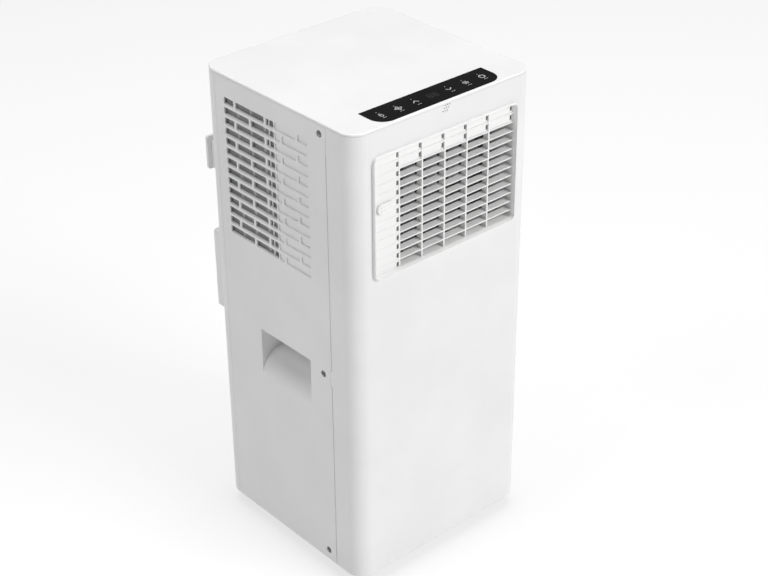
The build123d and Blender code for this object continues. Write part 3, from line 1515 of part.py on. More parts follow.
def liquid_line():
    """Capillary from the condenser through the drier and a coil, up to the evaporator."""
    end_x, end_y, end_z = coil_ends(hot)[0]
    drier_x = 20 - inner_side
    drier_y = front + box_back_rear + 14
    drier_z = end_z + 20
    drier = rod("z", (drier_x, drier_y, drier_z), drier_r, drier_tall)
    drier = fillet(drier.edges(), drier_r * 0.6)
    lower = path_pipe([(end_x - joint_gap / 3, end_y, end_z), (drier_x, end_y, end_z),
                       (drier_x, drier_y, end_z), (drier_x, drier_y, drier_z + 2)], capillary_r, 5)
    centre = (36 - inner_side, front + box_back_front + 36)
    coil_z = drier_z + drier_tall + 20
    corners = [(-1, -1), (1, -1), (1, 1), (-1, 1)]
    points = [(drier_x, drier_y, drier_z + drier_tall - 2), (drier_x, drier_y, coil_z)]
    for index in range(4 * coil_turns - 1):
        across, along = corners[(index + 3) % 4]
        height = coil_z + (index + 1) * coil_step / 4
        points.append((centre[0] + across * coil_half, centre[1] + along * coil_half, height))
    x, y, _ = deck_passages()[1]
    last_x, last_y, _ = points[-1]
    high = deck_z - 35
    cold_x, _, cold_z = coil_ends(cold)[0]
    points += [(last_x, last_y, high), (x, y, high + 6), (x, y, cold_z), (joint_gap / 3 - cold_x, y, cold_z)]
    return [drier + lower, path_pipe(points, capillary_r, capillary_bend_r)]


# ---- Electrical box

def electrical_box():
    """Open box on its side, with posts for the board and a cradle for the capacitor."""
    y = (front + box_back_front, front + box_back_rear)
    box = block((box_left, box_right), y, (box_low, box_top))
    box -= block((box_left + box_wall, box_right + 1), (y[0] + box_wall, y[1] - box_wall),
                 (box_low + box_wall, box_top - box_wall))
    for post_y in (y[0] + 10, y[1] - 10):
        for post_z in (box_low + 50, box_top - 10):
            box += rod("x", (box_left + box_wall - weld, post_y, post_z), 3, main_board_stand + weld)
    box -= rod("z", ((box_left + box_right) / 2, (y[0] + y[1]) / 2, box_top - 2 * box_wall), 8, 3 * box_wall)
    return box


def electrical_lid():
    """Cover plate of the box."""
    y = (front + box_back_front, front + box_back_rear)
    lid = block((box_right, box_right + box_lid_thick), y, (box_low, box_top))
    lip = block((box_right - 4, box_right + weld), (y[0] + box_wall + joint_gap, y[1] - box_wall - joint_gap),
                (box_low + box_wall + joint_gap, box_top - box_wall - joint_gap))
    lip -= block((box_right - 5, box_right), (y[0] + 3 * box_wall, y[1] - 3 * box_wall),
                 (box_low + 3 * box_wall, box_top - 3 * box_wall))
    return lid + lip


def main_board():
    """Power board with its relays, choke, transformer and connectors."""
    x = box_left + box_wall + main_board_stand
    y = (front + box_back_front + 5, front + box_back_rear - 5)
    top = x + main_board_thick
    board = block((x, top), y, (box_low + 44, box_top - 4))
    parts = [board]
    places = [(16, 12, 18, 14, 14), (16, 42, 22, 20, 24), (16, 70, 12, 12, 10), (50, 14, 10, 30, 10),
              (50, 52, 16, 16, 16), (72, 30, 14, 12, 12)]
    for dy, dz, tall, wide, high in places:
        low = (y[0] + dy - 8, box_low + 44 + dz)
        parts.append(block((top, top + tall), (low[0], low[0] + wide), (low[1], low[1] + high)))
    return parts


def run_capacitor():
    """Aluminium can with its terminals, lying in the bottom of the box."""
    y = front + (box_back_front + box_back_rear) / 2 - capacitor_long / 2
    x = box_left + box_wall + capacitor_r + 1
    z = box_low + box_wall + capacitor_r
    can = fillet(rod("y", (x, y, z), capacitor_r, capacitor_long).edges(), 1.5)
    for step in (-6, 6):
        can += block((x + step - 2, x + step + 2), (y - 7, y + 1), (z - 0.4, z + 0.4))
    return can


# ---- Write every node

save("front_shell", front_shell())
left = side_panel()
save("left_panel", left)
save("right_panel", mirror(left, about=Plane.YZ))
save("rear_shell", rear_shell())
save("top_cover", top_cover())
save("control_overlay", strip(0, strip_thick, strip_thick))
save("control_board", *control_board())
save("casing_screws", *casing_screws())
save("side_filters", *both_sides(side_filter()))

save("outlet_grille", outlet_grille())
save("louvre_link", louvre_link())
for number, x in enumerate(vane_x, start=1):
    save(f"louvre_vane_{number}", louvre_vane(x))

save("filter_door", filter_door())
save("upper_filter", upper_filter())
save("lower_grille", lower_grille())
save("lower_filter", lower_filter())
save("duct_seat", duct_seat())
save("duct_collar", duct_collar())
save("cord_hooks", *both_sides(cord_hook()))
save("cord_gland", cord_gland())
save("drain_plugs", *[drain_plug(x, z) for x, z in spout_spots()])

save("base_pan", base_pan())
for name in caster_headings:
    save(f"caster_fork_{name}", caster_frame(name) * caster_fork())
    save(f"caster_wheels_{name}", caster_frame(name) * caster_wheels())

save("drip_deck", drip_deck())
save("evaporator_fins", *fins(cold))
save("condenser_fins", *fins(hot))
save("evaporator_tubes", mirror(coil(cold), about=Plane.YZ))
save("condenser_tubes", coil(hot))
save("upper_fan_housing", upper_fan_housing())
save("upper_fan_wheel", upper_fan_wheel())
save("upper_fan_motor", upper_fan_motor())

save("compressor", compressor())
save("compressor_grommets", *[compressor_grommet(x, y) for x, y in foot_spots()])
save("compressor_nuts", *[compressor_nut(x, y) for x, y in foot_spots()])
save("accumulator", accumulator())
save("suction_pipe", suction_pipe())
save("discharge_pipe", discharge_pipe())
save("liquid_line", *liquid_line())
save("lower_fan_scroll", lower_fan_scroll())
save("lower_fan_wheel", lower_fan_wheel())
save("lower_fan_motor", lower_fan_motor())
save("exhaust_elbow", exhaust_elbow())
save("splash_motor", splash_motor())
save("splash_wheel", splash_wheel())
save("float_ball", float_ball())
save("electrical_box", electrical_box())
save("electrical_lid", electrical_lid())
save("main_board", *main_board())
save("run_capacitor", run_capacitor())
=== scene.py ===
"""Looks of an upright portable air conditioner on casters, built round its CAD parts.

Lengths are in metres. The floor is at Z = 0, the front faces -Y and +X is the right-hand side
seen from the front. The file goes through the object as it is put together.
"""
import bpy
import numpy as np
from math import atan2, cos, pi, radians, sin
from mathutils import Matrix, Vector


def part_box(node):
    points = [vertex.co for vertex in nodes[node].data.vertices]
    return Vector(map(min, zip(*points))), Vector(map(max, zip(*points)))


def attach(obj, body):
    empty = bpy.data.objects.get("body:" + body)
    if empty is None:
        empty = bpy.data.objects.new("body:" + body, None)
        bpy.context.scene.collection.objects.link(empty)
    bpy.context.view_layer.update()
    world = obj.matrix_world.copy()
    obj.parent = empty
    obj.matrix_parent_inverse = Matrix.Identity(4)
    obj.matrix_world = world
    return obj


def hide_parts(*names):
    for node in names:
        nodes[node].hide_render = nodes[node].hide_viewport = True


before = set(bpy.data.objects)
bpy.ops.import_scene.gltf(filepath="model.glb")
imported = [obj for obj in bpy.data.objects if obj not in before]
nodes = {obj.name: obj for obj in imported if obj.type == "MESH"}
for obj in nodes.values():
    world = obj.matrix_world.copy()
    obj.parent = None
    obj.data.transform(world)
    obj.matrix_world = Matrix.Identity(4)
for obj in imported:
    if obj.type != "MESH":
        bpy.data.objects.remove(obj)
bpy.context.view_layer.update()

# ---- Case mouldings
# Front shell, two side panels, rear shell and lid, injection-moulded in white ABS with a fine
# spark-eroded grain. They hook over tabs and are held by ten self-tapping screws.

case_white = (0.845, 0.845, 0.845)
grain_size = 1100
edge_round = 0.00035


class Wire:
    """A shader socket that takes part in sums: each operator adds one Math node."""

    def __init__(self, finish, socket):
        self.finish = finish
        self.socket = socket

    def joined(self, operation, first, second):
        return self.finish.add("ShaderNodeMath", {"operation": operation}, {0: first, 1: second})

    def __add__(self, other):
        return self.joined("ADD", self, other)

    def __sub__(self, other):
        return self.joined("SUBTRACT", self, other)

    def __rsub__(self, other):
        return self.joined("SUBTRACT", other, self)

    def __mul__(self, other):
        return self.joined("MULTIPLY", self, other)

    def __pow__(self, other):
        return self.joined("POWER", self, other)

    def __gt__(self, other):
        return self.joined("GREATER_THAN", self, other)

    def __lt__(self, other):
        return self.joined("LESS_THAN", self, other)

    __radd__ = __add__
    __rmul__ = __mul__

    def between(self, low, high):
        """0 below low, 1 above high, and a smooth step from one to the other."""
        return self.finish.add("ShaderNodeMapRange", {"interpolation_type": "SMOOTHSTEP"},
                               {0: self, 1: low, 2: high, 3: 0.0, 4: 1.0})


class Finish:
    """One procedural material; the constants go straight onto its Principled sockets."""

    def __init__(self, name, **constants):
        self.material = bpy.data.materials.new(name)
        self.material.use_nodes = True
        self.tree = self.material.node_tree
        self.shader = self.tree.nodes["Principled BSDF"]
        for socket, value in constants.items():
            self.shader.inputs[socket.replace("_", " ")].default_value = value

    def add(self, kind, settings=None, values=None, output=0):
        """One node: its type, its settings, and the values or wires of its sockets."""
        node = self.tree.nodes.new(kind)
        for name, value in (settings or {}).items():
            if name == "stops":
                for stop, (place, colour) in zip(node.color_ramp.elements, value):
                    stop.position = place
                    stop.color = (*colour, 1)
            else:
                setattr(node, name, value)
        for name, value in (values or {}).items():
            self.plug(node.inputs[name], value)
        return Wire(self, node.outputs[output])

    def plug(self, socket, value):
        """A wire is linked, anything else becomes the socket's own value."""
        if isinstance(value, Wire):
            self.tree.links.new(value.socket, socket)
        elif socket.type == "RGBA" and len(value) == 3:
            socket.default_value = (*value, 1)
        else:
            socket.default_value = value

    def place(self, stretch=(1, 1, 1)):
        """Object coordinates, stretched along the axes."""
        point = self.add("ShaderNodeTexCoord", output=3)
        if stretch == (1, 1, 1):
            return point
        return self.add("ShaderNodeVectorMath", {"operation": "MULTIPLY"}, {0: point, 1: stretch})

    def axis(self, index):
        """One of the three object coordinates."""
        return self.add("ShaderNodeSeparateXYZ", None, {0: self.place()}, index)

    def noise(self, scale, detail=2.0, stretch=(1, 1, 1), rough=0.5):
        """Cloudy pattern with values round one half."""
        return self.add("ShaderNodeTexNoise", None, {"Vector": self.place(stretch), "Scale": scale,
                                                     "Detail": detail, "Roughness": rough})

    def blend(self, factor, first, second):
        """Colour that goes from the first to the second with the factor."""
        return self.add("ShaderNodeMix", {"data_type": "RGBA"}, {0: factor, 6: first, 7: second}, 2)

    def bump(self, height, strength, distance, edges=0.0):
        """Relief of a height pattern, over edges softened by a small radius."""
        values = {"Height": height, "Strength": strength, "Distance": distance}
        if edges:
            values["Normal"] = self.add("ShaderNodeBevel", {"samples": 4}, {"Radius": edges})
        self.set(Normal=self.add("ShaderNodeBump", None, values))

    def set(self, **inputs):
        for socket, wire in inputs.items():
            self.plug(self.shader.inputs[socket.replace("_", " ")], wire)


def moulded(name, colour, grain, roughness, cloud=0.012, edges=edge_round, specular=0.4):
    """Moulded plastic: faint flow clouds, spark-eroded grain, and softened edges."""
    finish = Finish(name, Specular_IOR_Level=specular)
    clouds = finish.noise(9.0, 3.0)
    fine = finish.noise(grain, 1.0)
    darker = tuple(part * (1 - 4 * cloud) for part in colour)
    finish.set(Base_Color=finish.blend(clouds.between(0.3, 0.75), darker, colour),
               Roughness=roughness + (finish.noise(38.0, 2.0) - 0.5) * 0.10)
    finish.bump(fine + finish.noise(grain * 0.35, 1.0) * 0.6, 0.10, 0.0002, edges)
    return finish


def wear(node, finish):
    """Give a CAD node its finish."""
    mesh = nodes[node].data
    mesh.materials.clear()
    mesh.materials.append(finish.material)


case = moulded("case_white", case_white, grain=grain_size, roughness=0.42)
for node in ("front_shell", "left_panel", "right_panel", "rear_shell", "top_cover", "filter_door",
             "lower_grille", "duct_seat", "duct_collar", "cord_hooks"):
    wear(node, case)

# ---- Casing screws
# Zinc-plated self-tapping screws with a cross recess, sunk in their bosses.

zinc = Finish("zinc_steel", Metallic=1.0)
lathe = zinc.noise(420.0, 2.0, (0.2, 1, 1))
zinc.set(Base_Color=zinc.blend(lathe.between(0.35, 0.7), (0.20, 0.20, 0.20), (0.38, 0.375, 0.36)),
         Roughness=0.30 + zinc.noise(160.0) * 0.2)
zinc.bump(lathe, 0.15, 0.0002)
for node in ("casing_screws", "compressor_nuts"):
    wear(node, zinc)

# ---- Outlet grille
# Egg-crate grid with a proud rim in satin white ABS, snapped into the front shell; five upright
# vanes turn behind it, worked by a bar with a white thumb tab. The vanes, and the bar behind the
# tab, are dark grey as painted shade for the depth behind the grid.

grille_white = (0.87, 0.87, 0.865)
painted_shade_grey = (0.13, 0.13, 0.133)
satin = dict(grain=700, roughness=0.34, cloud=0.004, edges=0.00025, specular=0.5)
grille = moulded("grille_white", grille_white, **satin)
wear("outlet_grille", grille)
tab_deep = 0.008
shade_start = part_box("front_shell")[0][1] + tab_deep
link_finish = moulded("link_white_and_painted_shade", grille_white, **satin)
# Painted shade: only the thumb tab at the front is white; the bar behind it is dark grey, standing in for
# the shade behind the grid.
link_finish.set(Base_Color=link_finish.blend(link_finish.axis(1) > shade_start, grille_white, painted_shade_grey))
wear("louvre_link", link_finish)
# Painted shade: the vanes are dark grey to stand in for the shade deep behind the grid.
vane_finish = moulded("painted_shade_grey", painted_shade_grey, grain=700, roughness=0.55, cloud=0.03, edges=0.0)
for number in range(1, 6):
    wear(f"louvre_vane_{number}", vane_finish)

# ---- Control strip
# Gloss black acrylic glued in the lid's pocket, over a board with seven touch pads. Its symbols
# are screen-printed in light grey; the two digits of the display show dimly through it.

gloss = Finish("strip_black", Coat_Weight=1.0, Coat_Roughness=0.03, Specular_IOR_Level=0.5)
gloss.set(Base_Color=gloss.blend(gloss.noise(30.0), (0.008, 0.008, 0.009), (0.014, 0.014, 0.015)),
          Roughness=0.12 + gloss.noise(60.0) * 0.08)
gloss.bump(gloss.noise(5.0), 0.03, 0.0005)
wear("control_overlay", gloss)

strip_low, strip_high = (np.array(corner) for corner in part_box("control_overlay"))
print_level = strip_high[2]
print_thick = 0.00004
strip_middle = (strip_low[1] + strip_high[1]) / 2
key_pitch = 0.0277
line_half = 0.00045
arrow_half, ray_half, power_half = 0.0007, 0.00032, 0.0006
lamp_half, label_half = 0.0005, 0.00035
segment_half = 0.0005
picture_scale = 0.0013
mark_scale = 0.001


def ribbon(path, half, low, high, closed=False):
    """Flat bar along a path: each point sits half a width to the left or right of the path's
    own direction, at a low or a high level; an open bar has an end face at both ends."""
    path = np.asarray(path, float)
    if closed:
        run = np.roll(path, -1, 0) - np.roll(path, 1, 0)
    else:
        run = np.gradient(path, axis=0)
    run /= np.linalg.norm(run, axis=1, keepdims=True)
    aside = np.stack((-run[:, 1], run[:, 0]), 1) * half
    count = len(path)
    flat = np.concatenate([path + aside, path - aside, path - aside, path + aside])
    level = np.repeat((low, low, high, high), count)
    points = np.column_stack((flat, level))
    first = np.arange(count if closed else count - 1)
    after = (first + 1) % count
    faces = []
    for side in range(4):
        nearer, farther = side * count, (side + 1) % 4 * count
        faces += np.stack((nearer + first, nearer + after, farther + after, farther + first), 1).tolist()
    if not closed:
        ends = np.arange(4) * count
        faces += [ends.tolist(), (ends + count - 1)[::-1].tolist()]
    return points, faces


def shown(name, solids, finish, body="case", smooth=False):
    """One piece from a list of closed shapes, each with its points and faces."""
    start, points, faces = 0, [], []
    for shape_points, shape_faces in solids:
        points.append(shape_points)
        faces += [[start + corner for corner in face] for face in shape_faces]
        start += len(shape_points)
    mesh = bpy.data.meshes.new(name)
    mesh.from_pydata(np.concatenate(points).tolist(), [], faces)
    mesh.materials.append(finish.material)
    mesh.polygons.foreach_set("use_smooth", [smooth] * len(faces))
    piece = bpy.data.objects.new(name, mesh)
    bpy.context.scene.collection.objects.link(piece)
    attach(piece, body)
    return piece


def arc(x, y, radius, start, end, steps=24):
    """Points of a circular arc; a start and an end in degrees."""
    turn = np.radians(np.linspace(start, end, steps))
    return np.column_stack((x + radius * np.cos(turn), y + radius * np.sin(turn)))


def symbol(strokes, key, half=line_half, scale=mark_scale):
    """Strokes round a key, as closed bars on the strip's face."""
    centre = np.array((key * key_pitch, strip_middle))
    bars = []
    for stroke in strokes:
        path = np.asarray(stroke, float)
        loop = len(path) > 3 and np.allclose(path[0], path[-1])
        path = centre + (path[:-1] if loop else path) * scale
        bars.append(ribbon(path, half, print_level - print_thick, print_level + print_thick, loop))
    return bars


def straight(start, end):
    return np.linspace(start, end, 3)


drop = np.radians(np.linspace(0, 360, 33))
drop_wide, drop_tall = 2.4, 3.4
drop_path = np.column_stack((drop_wide * np.sin(drop) * np.sin(drop / 2) ** 1.5, drop_tall * np.cos(drop)))
petal = np.radians(np.linspace(0, 360, 97))
petal_root, petal_long = 0.9, 3.1
petal_r = petal_root + petal_long * np.abs(np.cos(2 * petal)) ** 1.5
fan_path = np.column_stack((petal_r * np.cos(petal), petal_r * np.sin(petal)))
printed = symbol([drop_path, arc(0, 0.6, 1.2, 200, 290, 8)], -3, line_half, picture_scale)
printed += symbol([fan_path, arc(0, 0, 0.5, 0, 360, 13)], -2, line_half, picture_scale)
arrow = np.array([(-3.2, -1.4), (0, 1.8), (3.2, -1.4)])
printed += symbol([arrow], -1, arrow_half, picture_scale)
printed += symbol([arrow * (1, -1)], 1, arrow_half, picture_scale)
rays = []
for spoke in range(6):
    way = np.array((cos(spoke * pi / 3), sin(spoke * pi / 3)))
    barb = np.array((-way[1], way[0]))
    rays += [straight(way * 0.3, way * 3.6),
             straight(way * 2.0, way * 3.0 + barb * 1.0), straight(way * 2.0, way * 3.0 - barb * 1.0)]
printed += symbol(rays, 2, ray_half, picture_scale)
power = [arc(0, 0, 3.0, 115, 425, 40), straight((0, 1.0), (0, 4.0))]
printed += symbol(power, 3, power_half, picture_scale)
lamp_level, label_level = 8.2, -8.0
label_spans = ((-3.4, -0.6), (0.2, 2.8))
for key in (-3, -2, -1, 1, 2, 3):
    printed += symbol([straight((-0.6, lamp_level), (0.6, lamp_level))], key, lamp_half)
    label = [straight((start, label_level), (end, label_level)) for start, end in label_spans]
    printed += symbol(label, key, label_half)
ink = Finish("strip_ink", Roughness=0.45)
screen = ink.noise(2600.0, 0.0)
ink.set(Base_Color=ink.blend(screen.between(0.3, 0.6), (0.40, 0.40, 0.40), (0.66, 0.66, 0.66)))
ink.bump(screen, 0.2, 0.00003)
shown("strip_symbols", printed, ink)

segments = {"top": ((-2, 5), (2, 5)), "middle": ((-2, 0), (2, 0)), "bottom": ((-2, -5), (2, -5)),
            "upper_left": ((-2.3, 0.5), (-2.3, 4.6)), "upper_right": ((2.3, 0.5), (2.3, 4.6)),
            "lower_left": ((-2.3, -4.6), (-2.3, -0.5)), "lower_right": ((2.3, -4.6), (2.3, -0.5))}
digits = []
for offset in (-4.2, 4.2):
    for ends in segments.values():
        start, end = np.array(ends) + (offset, 0)
        digits += symbol([straight(start, end)], 0, segment_half)
glow = Finish("display_dim", Roughness=0.2, Coat_Weight=0.6)
speckle = glow.noise(1800.0, 0.0).between(0.4, 0.6)
glow.set(Base_Color=glow.blend(speckle, (0.035, 0.035, 0.036), (0.075, 0.075, 0.078)))
glow.bump(glow.noise(900.0, 0.0), 0.05, 0.00002)
shown("display_segments", digits, glow)

# ---- Filter nets
# Extruded polypropylene net, pale grey behind the side intakes and dark grey behind the rear
# door and the condenser's grille, welded on light frames. Warp lies on one side of the weft.

net = moulded("filter_net", (0.20, 0.20, 0.205), grain=500, roughness=0.6, cloud=0.03, edges=0.0)
side_net = moulded("side_net", (0.50, 0.50, 0.505), grain=500, roughness=0.6, cloud=0.03, edges=0.0)
for node, finish in (("side_filters", side_net), ("upper_filter", net), ("lower_filter", net)):
    wear(node, finish)


def bars(lows, highs):
    """Many boxes at once: every corner takes its low or its high value on each axis."""
    lows, highs = np.atleast_2d(lows).astype(float), np.atleast_2d(highs).astype(float)
    base = [(0, 0), (1, 0), (1, 1), (0, 1)]
    pick = np.array([(*corner, level) for level in (0, 1) for corner in base])
    points = np.where(pick[None], highs[:, None], lows[:, None]).reshape(-1, 3)
    sides = [(0, 3, 2, 1), (4, 5, 6, 7), (0, 1, 5, 4), (1, 2, 6, 5), (2, 3, 7, 6), (3, 0, 4, 7)]
    faces = (np.array(sides)[None] + len(pick) * np.arange(len(lows))[:, None, None]).reshape(-1, 4)
    return points, faces.tolist()


def netting(low, high, normal, pitch, thread):
    """Two layers of parallel square threads that cross, in the plane square to one axis."""
    across, upward = [index for index in range(3) if index != normal]
    layers = []
    for along, over, layer in ((across, upward, 0), (upward, across, 1)):
        spots = np.arange(low[over] + pitch, high[over] - pitch / 2, pitch)
        starts = np.tile(np.array(low, float), (len(spots), 1))
        ends = np.tile(np.array(high, float), (len(spots), 1))
        starts[:, over], ends[:, over] = spots - thread / 2, spots + thread / 2
        middle = (low[normal] + high[normal]) / 2
        starts[:, normal] = middle + (layer - 0.9) * thread
        ends[:, normal] = starts[:, normal] + thread
        layers.append(bars(starts, ends))
    return layers


inset = 0.002
thread = 0.0005
frame_thick = 0.0012
fine_pitch, coarse_pitch = 0.0013, 0.0024
for node, body, finish, normal, pitch in (("side_filters", "case", side_net, 0, fine_pitch),
                                          ("upper_filter", "filter_door", net, 1, coarse_pitch),
                                          ("lower_filter", "case", net, 1, coarse_pitch)):
    low, high = (np.array(corner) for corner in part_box(node))
    sheets = []
    spans = [(low, high)]
    if node == "side_filters":
        left_high = np.array((low[0] + frame_thick, *high[1:]))
        right_low = np.array((high[0] - frame_thick, *low[1:]))
        spans = [(low, left_high), (right_low, high)]
    for start, end in spans:
        trim = np.full(3, inset)
        trim[normal] = 0
        sheets += netting(start + trim, end - trim, normal, pitch, thread)
    shown(node + "_netting", sheets, finish, body)

# ---- Fins
# Two stacks of corrugated aluminium foil fins, pressed on the copper tubes, with a galvanised
# end plate at each side and a rail underneath.

fin_pitch = 0.0017
fin_half = 0.00007
fold_count = 13
ripple = 0.00035
plate, rail = 0.0012, 0.0008
aluminium = Finish("fin_aluminium", Metallic=1.0)
drawn = aluminium.noise(90.0, 3.0, (1, 1, 0.15))
aluminium.set(Base_Color=aluminium.blend(drawn.between(0.3, 0.8), (0.56, 0.57, 0.58), (0.80, 0.81, 0.82)),
              Roughness=0.28 + aluminium.noise(240.0) * 0.22)
aluminium.bump(aluminium.noise(700.0, 1.0, (1, 1, 0.1)), 0.2, 0.0002)
for node in ("evaporator_fins", "condenser_fins"):
    low, high = (np.array(corner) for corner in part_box(node))
    depth = np.linspace(low[1], high[1], fold_count)
    zigzag = ripple * (-1.0) ** np.arange(1, fold_count + 1)
    stack = [ribbon(np.column_stack((x + zigzag, depth)), fin_half, low[2] + rail, high[2])
             for x in np.arange(low[0] + 2 * plate, high[0] - 2 * plate, fin_pitch)]
    left_plate = ((low[0], low[1], low[2] + rail), (low[0] + plate, high[1], high[2]))
    right_plate = ((high[0] - plate, low[1], low[2] + rail), high)
    foot = (low, (high[0], low[1] + rail, low[2] + rail))
    stack.append(bars(*zip(left_plate, right_plate, foot)))
    foil = shown(node + "_foil", stack, aluminium)
    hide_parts(node)

# ---- Copper tubes
# Drawn copper, darkened where the return bends and pipe ends were brazed.

copper = Finish("copper", Metallic=1.0)
tarnish = copper.noise(26.0, 4.0)
bend_start, bend_end = 0.110, 0.118
heat = (copper.axis(0) * copper.axis(0)).between(bend_start ** 2, bend_end ** 2)
clean = copper.blend(tarnish.between(0.35, 0.75), (0.78, 0.36, 0.20), (0.60, 0.25, 0.13))
copper.set(Base_Color=copper.blend(heat * tarnish, clean, (0.17, 0.085, 0.06)),
           Roughness=0.22 + tarnish * 0.25)
copper.bump(copper.noise(500.0), 0.08, 0.0002)
for node in ("evaporator_tubes", "condenser_tubes", "suction_pipe", "discharge_pipe", "liquid_line"):
    wear(node, copper)

# ---- Cross-flow fan
# Rotor of 36 curved blades in glass-filled ABS, welded between rings, with a steel shaft, in a
# grey housing of two end plates, a lower guide and an upper cut-off.

duct_grey = moulded("duct_plastic", (0.34, 0.345, 0.35), grain=600, roughness=0.5, cloud=0.03, edges=0.0)
fan_plastic = moulded("fan_plastic", (0.50, 0.51, 0.51), grain=800, roughness=0.42, cloud=0.02, edges=0.0)
for node in ("upper_fan_housing", "lower_fan_scroll", "exhaust_elbow", "drip_deck"):
    wear(node, duct_grey)
steel = Finish("motor_steel", Metallic=1.0)
spangle = steel.add("ShaderNodeTexVoronoi", {"feature": "F1"}, {"Vector": steel.place(), "Scale": 130.0}, 1)
dull = steel.noise(60.0, 3.0).between(0.3, 0.7)
steel.set(Base_Color=steel.blend(dull, (0.40, 0.41, 0.42), (0.60, 0.61, 0.62)),
          Roughness=0.30 + steel.add("ShaderNodeSeparateColor", None, {0: spangle}) * 0.2)
steel.bump(steel.noise(300.0), 0.1, 0.0002)
for node in ("upper_fan_motor", "lower_fan_motor", "splash_motor"):
    wear(node, steel)


def post(centre, radius, low, high, steps=24):
    """Closed round bar: a circle at a low and a high level, with a face at both ends."""
    turn = np.linspace(0, 2 * pi, steps, endpoint=False)
    circle = np.column_stack((centre[0] + radius * np.cos(turn), centre[1] + radius * np.sin(turn)))
    points = np.column_stack((np.tile(circle, (2, 1)), np.repeat((low, high), steps)))
    first = np.arange(steps)
    after = (first + 1) % steps
    faces = np.stack((first, after, after + steps, first + steps), 1).tolist()
    return points, faces + [first[::-1].tolist(), (first + steps).tolist()]


def hoop(centre, inner, outer, low, high, steps=48):
    """Flat ring: the band between two radii and two levels, carried round a circle."""
    turn = np.linspace(0, 2 * pi, steps, endpoint=False)
    middle = (inner + outer) / 2
    circle = np.column_stack((centre[0] + middle * np.cos(turn), centre[1] + middle * np.sin(turn)))
    return ribbon(circle, (outer - inner) / 2, low, high, True)


def curved_blades(centre, inner, outer, lean, half, low, high, count):
    """Blades whose angle grows with the square of the way from the inner to the outer radius."""
    way = np.linspace(0, 1, 7)
    radius = inner + (outer - inner) * way
    blades = []
    for start in np.linspace(0, 2 * pi, count, endpoint=False):
        turn = start + radians(lean) * way ** 2
        path = np.column_stack((centre[0] + radius * np.cos(turn), centre[1] + radius * np.sin(turn)))
        blades.append(ribbon(path, half, low, high))
    return blades


def laid(solids, order):
    """The shapes with their three coordinates put in another cyclic order."""
    return [(points[:, order], faces) for points, faces in solids]


low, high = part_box("upper_fan_wheel")
hub = ((low[1] + high[1]) / 2, (low[2] + high[2]) / 2)
rotor_r = (high[1] - low[1]) / 2
rotor_low, rotor_high = -0.104, 0.096
ring_thick, ring_wide = 0.0016, 0.0095
blade_inner, blade_outer = rotor_r - 0.0085, rotor_r - 0.0008
blade_lean, blade_half, blade_count = 14, 0.00045, 36
overlap = 0.0005
shaft_r = 0.004
rotor = curved_blades(hub, blade_inner, blade_outer, blade_lean, blade_half,
                      rotor_low + overlap, rotor_high - overlap, blade_count)
levels = np.linspace(rotor_low, rotor_high - ring_thick, 5)
rotor += [hoop(hub, rotor_r - ring_wide, rotor_r, level, level + ring_thick) for level in levels[1:-1]]
rotor += [post(hub, rotor_r, level, level + ring_thick, 48) for level in (levels[0], levels[-1])]
rotor.append(post(hub, shaft_r, low[0], high[0]))
fan = shown("cross_flow_rotor", laid(rotor, (2, 0, 1)), fan_plastic, "upper_fan")
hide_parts("upper_fan_wheel")

# ---- Condenser fan
# Forward-curved radial wheel in glass-filled ABS on a steel shaft, in its scroll.

low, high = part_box("lower_fan_wheel")
hub = ((low[2] + high[2]) / 2, (low[0] + high[0]) / 2)
wheel_r = (high[0] - low[0]) / 2
wheel_wide = 0.042
wheel_low = high[1] - wheel_wide
plate_thick, rim_thick, rim_deep = 0.002, 0.0025, 0.0125
hub_r, hub_tall = 0.010, 0.014
rib_r, rib_thick = (0.022, 0.040), 0.0016
blade_outer, blade_lean, blade_half, blade_count = wheel_r - 0.0006, -22, 0.0006, 40
wheel = curved_blades(hub, wheel_r - rim_deep, blade_outer, blade_lean, blade_half,
                      wheel_low + plate_thick / 2, high[1] - overlap, blade_count)
wheel += [post(hub, wheel_r, wheel_low, wheel_low + plate_thick, 64),
          post(hub, hub_r, wheel_low, wheel_low + hub_tall, 32),
          hoop(hub, wheel_r - rim_deep, wheel_r, high[1] - rim_thick, high[1], 64),
          post(hub, shaft_r, low[1], wheel_low + plate_thick / 2)]
rib_low = wheel_low + plate_thick - overlap
wheel += [hoop(hub, radius, radius + rib_thick, rib_low, rib_low + plate_thick) for radius in rib_r]
fan = shown("radial_wheel", laid(wheel, (1, 2, 0)), fan_plastic, "lower_fan")
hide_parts("lower_fan_wheel")
wear("splash_wheel", fan_plastic)

# ---- Compressor and accumulator
# Deep-drawn steel shells in black enamel with a seam weld, bolted through rubber grommets.

enamel = Finish("shell_black", Coat_Weight=0.4, Coat_Roughness=0.15)
orange_peel = enamel.noise(180.0, 2.0)
dust = enamel.noise(20.0, 4.0).between(0.5, 0.8)
enamel.set(Base_Color=enamel.blend(dust, (0.012, 0.012, 0.013), (0.035, 0.034, 0.033)),
           Roughness=0.30 + orange_peel * 0.15)
enamel.bump(orange_peel, 0.12, 0.0004)
for node in ("compressor", "accumulator"):
    wear(node, enamel)
rubber = moulded("black_rubber", (0.018, 0.018, 0.018), grain=300, roughness=0.75, cloud=0.06, edges=0.0)
wear("compressor_grommets", rubber)

# ---- Sound felt (painted shade)
# A pad of black felt glued behind the nine sound holes, a dark sheet as painted shade so that no light
# comes through them.

shell_low, shell_high = (np.array(corner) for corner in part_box("front_shell"))
shell_wall, felt_thick, glue = 0.0025, 0.0008, 0.0001
felt_half = (0.008, 0.0052)
hole_drop = 0.008
holes_level = shell_high[2] - hole_drop
